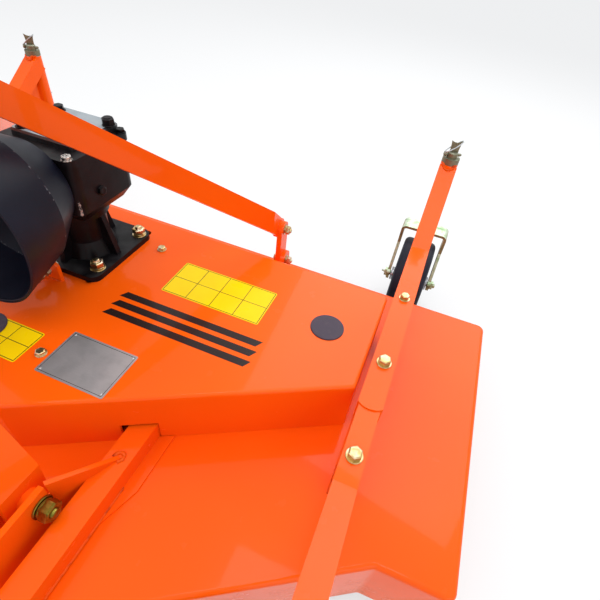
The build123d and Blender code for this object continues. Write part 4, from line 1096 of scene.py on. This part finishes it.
class MOWER_OT_linkage_bolts(Operator):
    """Bolts and nuts of the mast, braces, links and lower pivots"""

    bl_idname = "mower.linkage_bolts"
    bl_label = "Linkage bolts"

    def execute(self, context):
        size = sizes().joint_bolt
        pivot_size = 20 * MM
        bm = bmesh.new()
        for side, sign in SIDES:
            out, inward = (sign, 0, 0), (-sign, 0, 0)
            link_low, link_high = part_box(f"brace_link_{side}")
            lug_low, lug_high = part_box(f"brace_lug_{side}")
            link_outer = max(abs(link_low.x), abs(link_high.x))
            link_inner = min(abs(link_low.x), abs(link_high.x))
            lug_outer = max(abs(lug_low.x), abs(lug_high.x))
            y = (link_low.y + link_high.y) / 2
            top, low = link_high.z - 20 * MM, link_low.z + 20 * MM
            head = (42 * MM, SPINDLE_LINE - 203 * MM, 778 * MM)
            for x, along, z in ((link_outer, y, top), (lug_outer, y, low), head):
                bolt(bm, placed((sign * x, along, z), out), size, stub=3 * MM)
            for x, z in ((link_inner - 10 * MM, top), (link_inner, low)):
                bolt(bm, placed((sign * x, y, z), inward), size)
            for ahead, z in ((-476, 792), (-436, 748)):
                bolt(bm, placed(plan(sign * 44, ahead, z * MM), out), size, turn=0.2)
            pivot = plan(sign * 297, -489, 280 * MM)
            bolt(bm, placed(pivot, out), pivot_size, stub=4 * MM, wide=1.9, material=1)
            pivot.x = sign * 237 * MM
            bolt(bm, placed(pivot, inward), pivot_size, wide=1.9, material=1)
        piece("linkage_bolts", bm, "yellow_zinc", "bolt_zinc", "pivot_zinc")
        return {"FINISHED"}


class MOWER_OT_caster_tops(Operator):
    """Linch pins, wire rings, axle ends, collars and grease nipples of the caster forks"""

    bl_idname = "mower.caster_tops"
    bl_label = "Caster tops"

    def linch_pin(self, bm, centre):
        """A pin across the fork's shaft, its wire ring and its split clip."""
        turn = Matrix.Rotation(0.38, 3, "Z")
        across, aside, up = turn @ Vector((1, 0, 0)), turn @ Vector((0, 1, 0)), Vector((0, 0, 1))
        pin = [centre + across * along * MM for along in (-25, -22, 21, 24)]
        tube(bm, pin, [2.6 * MM, 4 * MM, 4 * MM, 2.4 * MM], count=14)
        tube(bm, [centre - across * 18 * MM, centre - across * 23 * MM], 6.5 * MM, count=16)
        loop = []
        for step in range(33):
            angle = math.radians(-160 + 320 * step / 32)
            swing = 1 + math.cos(angle)
            level = centre + across * (-24 + 21 * swing) * MM + aside * 9 * MM * math.sin(angle)
            loop.append(level + up * (4 + 17 * swing) * MM)
        tube(bm, loop, 1.6 * MM, material=1)
        clip = metres(
            (-12, 6), (13, 6), (12.5, 16), (14, 27), (17, 38), (9, 33.5), (2, 32), (-6, 33.5),
            (-14, 38), (-12, 27), (-10.5, 16),
        )
        upright = Matrix((across, up, -aside)).transposed().to_4x4()
        matrix = Matrix.Translation(centre) @ upright
        prism(bm, matrix, clip, -0.9 * MM, 0.9 * MM, bevel=0.3 * MM)

    def execute(self, context):
        button = metres(
            (0, 8.8), (4, 8.8), (4, 12), (2.4, 13), (2.4, 15), (3.2, 16.4), (1.6, 18.6), (0, 18.6)
        )
        collar = metres((19, -1.2), (22.8, -1.2), (23.2, 0), (22.6, 0.2), (19, 0.2))
        for end, side, sign in CASTERS:
            name = f"{end}_{side}"
            _, fork_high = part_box(f"caster_fork_{name}")
            swivel = joint_places[f"caster_swivel_{name}"]
            bm = bmesh.new()
            self.linch_pin(bm, Vector((swivel.x, swivel.y, fork_high.z - 8 * MM)))
            piece(
                f"linch_pin_{name}", bm, "bare_steel", "yellow_zinc", "white_zinc",
                body=f"caster_{name}",
            )
            bm = bmesh.new()
            wheel = joint_places[f"wheel_spin_{name}"]
            for leg in (-1, 1):
                matrix = placed((swivel.x + leg * 69.5 * MM, wheel.y, wheel.z), (leg, 0, 0))
                washer(bm, matrix, 8 * MM, 14.5 * MM, 2 * MM)
                if leg == sign:
                    thread(bm, matrix, 8 * MM, 8 * MM, 16 * MM)
                else:
                    turned(bm, matrix, button, 14)
            piece(f"axle_ends_{name}", bm, "yellow_zinc", "yellow_zinc", body=f"caster_{name}")
            bm = bmesh.new()
            _, arm_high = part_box(f"{end}_arm_{side}")
            outward = 1 if end == "rear" else -1
            sleeve_y = swivel.y + outward * 22.5 * MM
            nipple(bm, (swivel.x, sleeve_y, arm_high.z - 130 * MM), (0, outward, 0))
            turned(bm, placed((swivel.x, swivel.y, arm_high.z)), collar, 32, closed=True)
            piece(f"grease_nipple_{name}", bm, "bare_steel", "white_zinc")
        return {"FINISHED"}


class MOWER_OT_tyres(Operator):
    """Solid caster tyres with grooves and side ribs"""

    bl_idname = "mower.tyres"
    bl_label = "Caster tyres"

    def execute(self, context):
        grooves = sizes().tread_grooves
        for end, side, _ in CASTERS:
            name = f"{end}_{side}"
            tyre_low, tyre_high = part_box(f"tyre_{name}")
            half = (tyre_high.x - tyre_low.x) / 2
            radius = (tyre_high.z - tyre_low.z) / 2
            wall_top = radius - SHOULDER
            profile = [
                (BEAD_RADIUS, -37 * MM),
                (BEAD_RADIUS + 3 * MM, -38.5 * MM),
                (BEAD_RADIUS + 16 * MM, -half + 1.2 * MM),
                (BEAD_RADIUS + 17.5 * MM, -half + 0.2 * MM),
                (BEAD_RADIUS + 21 * MM, -half + 0.2 * MM),
                (BEAD_RADIUS + 22.5 * MM, -half + 1.4 * MM),
                (wall_top - 6 * MM, -half + 1.4 * MM),
                (wall_top - 4.5 * MM, -half + 0.1 * MM),
            ]
            for step in range(7):
                angle = math.pi / 2 * step / 6
                out, along = SHOULDER * math.sin(angle), SHOULDER * (1 - math.cos(angle))
                profile.append((wall_top + out, along - half))
            across = []
            for groove in range(grooves):
                middle = (groove - (grooves - 1) / 2) * 24 * MM
                for deep, along in metres(
                    (0, -2.6), (0.8, -2), (3, -1.4), (3, 1.4), (0.8, 2), (0, 2.6)
                ):
                    across.append((radius - deep, middle + along))
            mirrored = [(reach, -height) for reach, height in reversed(profile)]
            matrix = placed(joint_places[f"wheel_spin_{name}"], (1, 0, 0))
            bm = bmesh.new()
            turned(bm, matrix, profile + across + mirrored, count=88, closed=True)
            for face_side in (-1, 1):
                face = face_side * (half - 1 * MM)
                rib_low = (BEAD_RADIUS + 25 * MM, -0.7 * MM, face - 0.6 * MM)
                rib_high = (wall_top - 8 * MM, 0.7 * MM, face + 0.6 * MM)
                for angle in around(44):
                    block(bm, rib_low, rib_high, matrix=matrix @ Matrix.Rotation(angle, 4, "Z"))
            piece(
                f"caster_tyre_{name}", bm, "tyre", "tyre_rubber", body=f"wheel_{name}",
                replaces=(f"tyre_{name}",),
            )
        return {"FINISHED"}


class MOWER_OT_rims(Operator):
    """Bolts, edge ring and hub caps of the caster rims"""

    bl_idname = "mower.rims"
    bl_label = "Rim details"

    def execute(self, context):
        edge = metres((60.5, 34), (64, 35), (65.8, 36.9), (64.8, 37), (61, 36.6))
        hub = metres(
            (12, 57.9), (20.5, 57.9), (20.8, 56), (21.2, 52), (21.2, 50), (20.8, 49), (12, 49)
        )
        for end, side, _ in CASTERS:
            name = f"{end}_{side}"
            bm = bmesh.new()
            for face_side in (-1, 1):
                axis = (face_side, 0, 0)
                matrix = placed(joint_places[f"wheel_spin_{name}"], axis)
                turned(bm, matrix, edge, count=56, closed=True)
                for angle in around(5):
                    place = off_axis(matrix, 41 * MM, angle, 4 * MM)
                    bolt(bm, placed(place, axis), 8 * MM, turn=angle)
                turned(bm, matrix, hub, count=36, closed=True)
            piece(f"rim_fittings_{name}", bm, "rim_steel", "white_zinc", body=f"wheel_{name}")
        return {"FINISHED"}


class MOWER_OT_welds(Operator):
    """Weld beads of the rails, gussets, lugs, stands, arms and head"""

    bl_idname = "mower.welds"
    bl_label = "Weld beads"

    def execute(self, context):
        bead = sizes().bead
        bm = bmesh.new()
        for side, sign in SIDES:
            seed = 11 if sign > 0 else 12
            self.hitch_welds(bm, side, sign, bead, seed)
            lug_low, lug_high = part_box(f"brace_lug_{side}")
            for x in (lug_low.x, lug_high.x):
                weld(bm, (x, lug_low.y, DECK_TOP), (x, lug_high.y, DECK_TOP), bead, seed + 6)
            low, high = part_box(f"arm_stands_{side}")
            for middle in (SPINDLE_LINE - 235 * MM, SPINDLE_LINE + 105 * MM):
                front, rear = middle - 30 * MM, middle + 30 * MM
                for x in (low.x, high.x):
                    weld(bm, (x, front, DECK_TOP), (x, rear, DECK_TOP), bead, seed + 7)
                for y in (front, rear):
                    weld(bm, (low.x, y, DECK_TOP), (high.x, y, DECK_TOP), bead, seed + 8)
            for x in (22, 32):
                for high in LEG_WELD_HEIGHTS:
                    front, rear = [plan(sign * (x + 0.3), ahead, high) for ahead in (-488, -424)]
                    weld(bm, front, rear, bead * 0.9, seed + x)
        for side in (-1, 1):
            foot, tip = plan(side * 28, -132.5, HOUSING_TOP), plan(0, -132.5, HOUSING_TOP)
            weld(bm, foot, tip, bead, 31 + side)
        piece("weld_beads", bm, "orange_paint", "weld_paint", sharp=60)
        self.sleeve_welds(bead)
        return {"FINISHED"}

    def hitch_welds(self, bm, side, sign, bead, seed):
        """Beads of a hitch rail, its gusset and the lower hitch plates."""
        pad_top = DECK_TOP + PLATE_THICK
        for x in (317.5, 362.5):
            weld(bm, plan(sign * x, -604, pad_top), plan(sign * x, -400, pad_top), bead, seed)
        start, end = plan(sign * 292, -468), plan(sign * 340, -372)
        along = (end - start).normalized()
        aside = Vector((along.y, -along.x, 0)) * 4.5 * MM
        lift = Vector((0, 0, pad_top))
        for shift in (-1, 1):
            beside = start.lerp(end, 0.6) + aside * shift
            weld(bm, start + aside * shift + lift, beside + lift, bead, seed + 3)
        chance = random.Random(seed + 9)
        points = []
        for step in range(15):
            angle = math.radians(-130 + 260 * step / 14)
            spot = end + along * 9 * MM * math.cos(angle) + aside * 1.7 * math.sin(angle)
            top = surface_of(f"hitch_rail_{side}", spot.x, spot.y)
            points.append((spot.x, spot.y, top + 0.5 * MM))
        tube(bm, points, [bead * chance.uniform(0.9, 1.7) for _ in points])
        foot, tip = [plan(sign * 318, -412, height) for height in (pad_top, 262 * MM)]
        weld(bm, foot, tip, bead * 1.25, seed + 4)
        for x in (297, 287, 247, 237):
            rear, front = [plan(sign * x, ahead, DECK_TOP + 1 * MM) for ahead in (-476, -636)]
            weld(bm, rear, front, bead * 0.9, seed + x)

    def sleeve_welds(self, bead):
        """Half a bead round each swivel sleeve, on top of its arm."""
        reach = 24.4 * MM
        bm = bmesh.new()
        for end, side, _ in CASTERS:
            name = f"{end}_{side}"
            swivel = joint_places[f"caster_swivel_{name}"]
            inward = -1 if end == "rear" else 1
            chance = random.Random(5)
            points = []
            for step in range(27):
                angle = math.radians(-82 + 164 * step / 26)
                x = swivel.x + reach * math.sin(angle) * 0.82
                y = swivel.y + inward * reach * math.cos(angle)
                points.append((x, y, surface_of(f"{end}_arm_{side}", x, y) + 1 * MM))
            tube(bm, points, [bead * chance.uniform(1.0, 1.4) for _ in points])
        piece("sleeve_welds", bm, "orange_paint", "weld_paint", sharp=60)


class MOWER_OT_tension_fittings(Operator):
    """Lock nuts and thread of the belt tension bolt"""

    bl_idname = "mower.tension_fittings"
    bl_label = "Tension bolt fittings"

    def execute(self, context):
        low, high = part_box("tension_bolt")
        centre_z = (low.z + high.z) / 2
        bm = bmesh.new()
        tab_rear = SPINDLE_LINE - 124 * MM
        matrix = placed((0, tab_rear, centre_z), (0, 1, 0))
        hexagon(bm, matrix, 17 * MM, 0.2 * MM, 7 * MM, turn=0.3)
        thread(bm, matrix, 6.1 * MM, 6 * MM, 13.4 * MM)
        reach = low.y - (SPINDLE_LINE - 165 * MM)
        shank, base, tip = 6 * MM, -0.5 * MM, reach + 1 * MM
        ahead = placed((0, low.y, centre_z), (0, -1, 0))
        turned(bm, ahead, [(0, base), (shank, base), (shank, tip), (0, tip)])
        washer(bm, ahead, 5 * MM, 12 * MM, 2 * MM, reach - 2 * MM)
        hexagon(bm, ahead, 19 * MM, reach, reach + 10 * MM, turn=0.2)
        piece("tension_lock_nut", bm, "yellow_zinc", "bolt_zinc")
        return {"FINISHED"}


class MOWER_OT_deck_fittings(Operator):
    """Flap strip and its bolts, and the bolts and nipples of the spindle housings"""

    bl_idname = "mower.deck_fittings"
    bl_label = "Deck fittings"

    def execute(self, context):
        flap_low, flap_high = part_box("rear_flap")
        bm = bmesh.new()
        strip_low = (flap_low.x + 4 * MM, flap_low.y - 4 * MM, flap_high.z - 34 * MM)
        strip_high = (flap_high.x - 4 * MM, flap_low.y, flap_high.z - 6 * MM)
        block(bm, strip_low, strip_high, bevel=1 * MM)
        bolt_count, end_gap = 13, 40 * MM
        row_length = flap_high.x - flap_low.x - 2 * end_gap
        for step in range(bolt_count):
            x = flap_low.x + end_gap + row_length * step / (bolt_count - 1)
            matrix = placed((x, deck_high.y, flap_high.z - 12 * MM), (0, 1, 0))
            bolt(bm, matrix, 8 * MM, material=1)
        piece("flap_strip", bm, "orange_paint", "orange_paint", "bolt_zinc")

        bm = bmesh.new()
        flange_low = DECK_TOP - 16 * MM
        for name in ("left", "centre", "right"):
            low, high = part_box(f"spindle_housing_{name}")
            spindle = Matrix.Translation(((low.x + high.x) / 2, (low.y + high.y) / 2, 0))
            for angle in around(6, 0.5):
                place = off_axis(spindle, 66 * MM, angle, flange_low)
                bolt(bm, placed(place, (0, 0, -1)), 10 * MM, turn=angle)
            nipple(bm, off_axis(spindle, 44 * MM, 0.0, 160 * MM), (1, 0, 0))
        piece("spindle_bolts", bm, "yellow_zinc", "bolt_zinc")
        return {"FINISHED"}


class MOWER_OT_stage(Operator):
    """Pale floor, soft light and the photograph's camera"""

    bl_idname = "mower.stage"
    bl_label = "Stage, light and camera"

    def execute(self, context):
        scene = context.scene
        stage = scene.mower_stage
        scene.view_settings.view_transform = "Standard"
        self.sky(scene, stage.sky)

        mesh = bpy.data.meshes.new("floor")
        bm = bmesh.new()
        bmesh.ops.create_grid(bm, x_segments=2, y_segments=2, size=FLOOR_HALF)
        bm.to_mesh(mesh)
        bm.free()
        mesh.materials.append(self.floor_material())
        floor = linked("floor", mesh)

        self.lamp("sky_panel", (0.85, 2.6, 3.0), (0.4, 0.1, 0.3), 2.5, stage.panel * 1.15)
        self.lamp("top_panel", (0.8, -0.1, 3.0), (0.8, 0.0, 0.0), 1.2, stage.panel * 0.28)
        self.lamp("key_lamp", (-1.5, -1.9, 3.6), (0.1, 0.0, 0.3), 2.4, stage.key)
        self.lamp("fill_lamp", (2.8, -2.0, 1.6), (0.3, 0.0, 0.3), 2.0, stage.fill)

        data = bpy.data.cameras.new("photo_camera")
        data.sensor_width = 36.0
        data.lens = stage.lens
        data.clip_start = 0.05
        data.clip_end = 60.0
        camera = linked("photo_camera", data)
        aim = Matrix((PHOTO_RIGHT, PHOTO_UP, PHOTO_BACK)).transposed().to_4x4()
        camera.matrix_world = Matrix.Translation(PHOTO_PLACE) @ aim
        scene.camera = camera
        return {"FINISHED"}

    def sky(self, scene, level):
        """Soft light from all round, behind a white background."""
        scene.world = bpy.data.worlds.new("soft_sky")
        scene.world.use_nodes = True
        tree = scene.world.node_tree
        tree.nodes.clear()
        lit = tree.nodes.new("ShaderNodeBackground")
        lit.inputs["Color"].default_value = (0.93, 0.96, 1.0, 1.0)
        lit.inputs["Strength"].default_value = level
        seen = tree.nodes.new("ShaderNodeBackground")
        seen.inputs["Color"].default_value = (1.0, 1.0, 1.0, 1.0)
        seen.inputs["Strength"].default_value = 1.0
        self.mixed(tree, self.seen_share(tree), lit, seen, "ShaderNodeOutputWorld")

    def mixed(self, tree, share, first, second, output):
        """Mixes two shaders by a share into a new output."""
        mix = tree.nodes.new("ShaderNodeMixShader")
        for source, socket in zip((share, first.outputs[0], second.outputs[0]), mix.inputs):
            tree.links.new(source, socket)
        tree.links.new(mix.outputs[0], tree.nodes.new(output).inputs[0])

    def seen_share(self, tree):
        """1 for rays that show the background: from the camera, off gloss and through glass."""
        path = tree.nodes.new("ShaderNodeLightPath")
        total = path.outputs["Is Camera Ray"]
        for name in ("Is Glossy Ray", "Is Transmission Ray"):
            add = tree.nodes.new("ShaderNodeMath")
            add.operation = "ADD"
            add.use_clamp = True
            tree.links.new(total, add.inputs[0])
            tree.links.new(path.outputs[name], add.inputs[1])
            total = add.outputs[0]
        return total

    def floor_material(self):
        """Matt white that glows a little where it is seen, to meet the background."""
        material = bpy.data.materials.new("pale_floor")
        material.use_nodes = True
        tree = material.node_tree
        tree.nodes.clear()
        matt = tree.nodes.new("ShaderNodeBsdfDiffuse")
        matt.inputs["Color"].default_value = (0.86, 0.86, 0.86, 1.0)
        glow = tree.nodes.new("ShaderNodeEmission")
        glow.inputs["Color"].default_value = (1.0, 1.0, 1.0, 1.0)
        glow.inputs["Strength"].default_value = 1.0
        share = tree.nodes.new("ShaderNodeMath")
        share.operation = "MULTIPLY"
        share.inputs[1].default_value = 0.6
        tree.links.new(self.seen_share(tree), share.inputs[0])
        self.mixed(tree, share.outputs[0], matt, glow, "ShaderNodeOutputMaterial")
        return material

    def lamp(self, name, place, target, size, power):
        """A square lamp that looks at a target and stays out of sight."""
        data = bpy.data.lights.new(name, "AREA")
        data.shape = "SQUARE"
        data.size = size
        data.energy = power
        made = linked(name, data)
        made.location = place
        aim = Vector(target) - Vector(place)
        made.rotation_euler = aim.to_track_quat("-Z", "Y").to_euler()
        made.visible_camera = False


STEPS = (
    MOWER_OT_frame_finishes,
    MOWER_OT_housing_bolts,
    MOWER_OT_arm_bolts,
    MOWER_OT_arm_gussets,
    MOWER_OT_gearbox_fittings,
    MOWER_OT_shield_trim,
    MOWER_OT_signs,
    MOWER_OT_linkage_bolts,
    MOWER_OT_caster_tops,
    MOWER_OT_tyres,
    MOWER_OT_rims,
    MOWER_OT_welds,
    MOWER_OT_tension_fittings,
    MOWER_OT_deck_fittings,
    MOWER_OT_stage,
)
GROUPS = (
    ("mower_colours", MowerColours),
    ("mower_sizes", MowerSizes),
    ("mower_stage", MowerStage),
)


class MOWER_PT_panel(Panel):
    """The mower's steps and sizes"""

    bl_idname = "MOWER_PT_panel"
    bl_label = "Mower"
    bl_space_type = "VIEW_3D"
    bl_region_type = "UI"
    bl_category = "Mower"

    def draw(self, context):
        for step in STEPS:
            self.layout.operator(step.bl_idname)
        for group_name, _ in GROUPS:
            group = getattr(context.scene, group_name)
            for name in group.bl_rna.properties.keys():
                if name not in ("rna_type", "name"):
                    self.layout.prop(group, name)


def register():
    for name, group in GROUPS:
        bpy.utils.register_class(group)
        setattr(bpy.types.Scene, name, PointerProperty(type=group))
    for step in STEPS:
        bpy.utils.register_class(step)
    bpy.utils.register_class(MOWER_PT_panel)


def unregister():
    bpy.utils.unregister_class(MOWER_PT_panel)
    for step in reversed(STEPS):
        bpy.utils.unregister_class(step)
    for name, group in reversed(GROUPS):
        delattr(bpy.types.Scene, name)
        bpy.utils.unregister_class(group)


def main():
    register()
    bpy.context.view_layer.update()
    for step in STEPS:
        group, name = step.bl_idname.split(".")
        getattr(getattr(bpy.ops, group), name)()


if __name__ == "__main__":
    main()
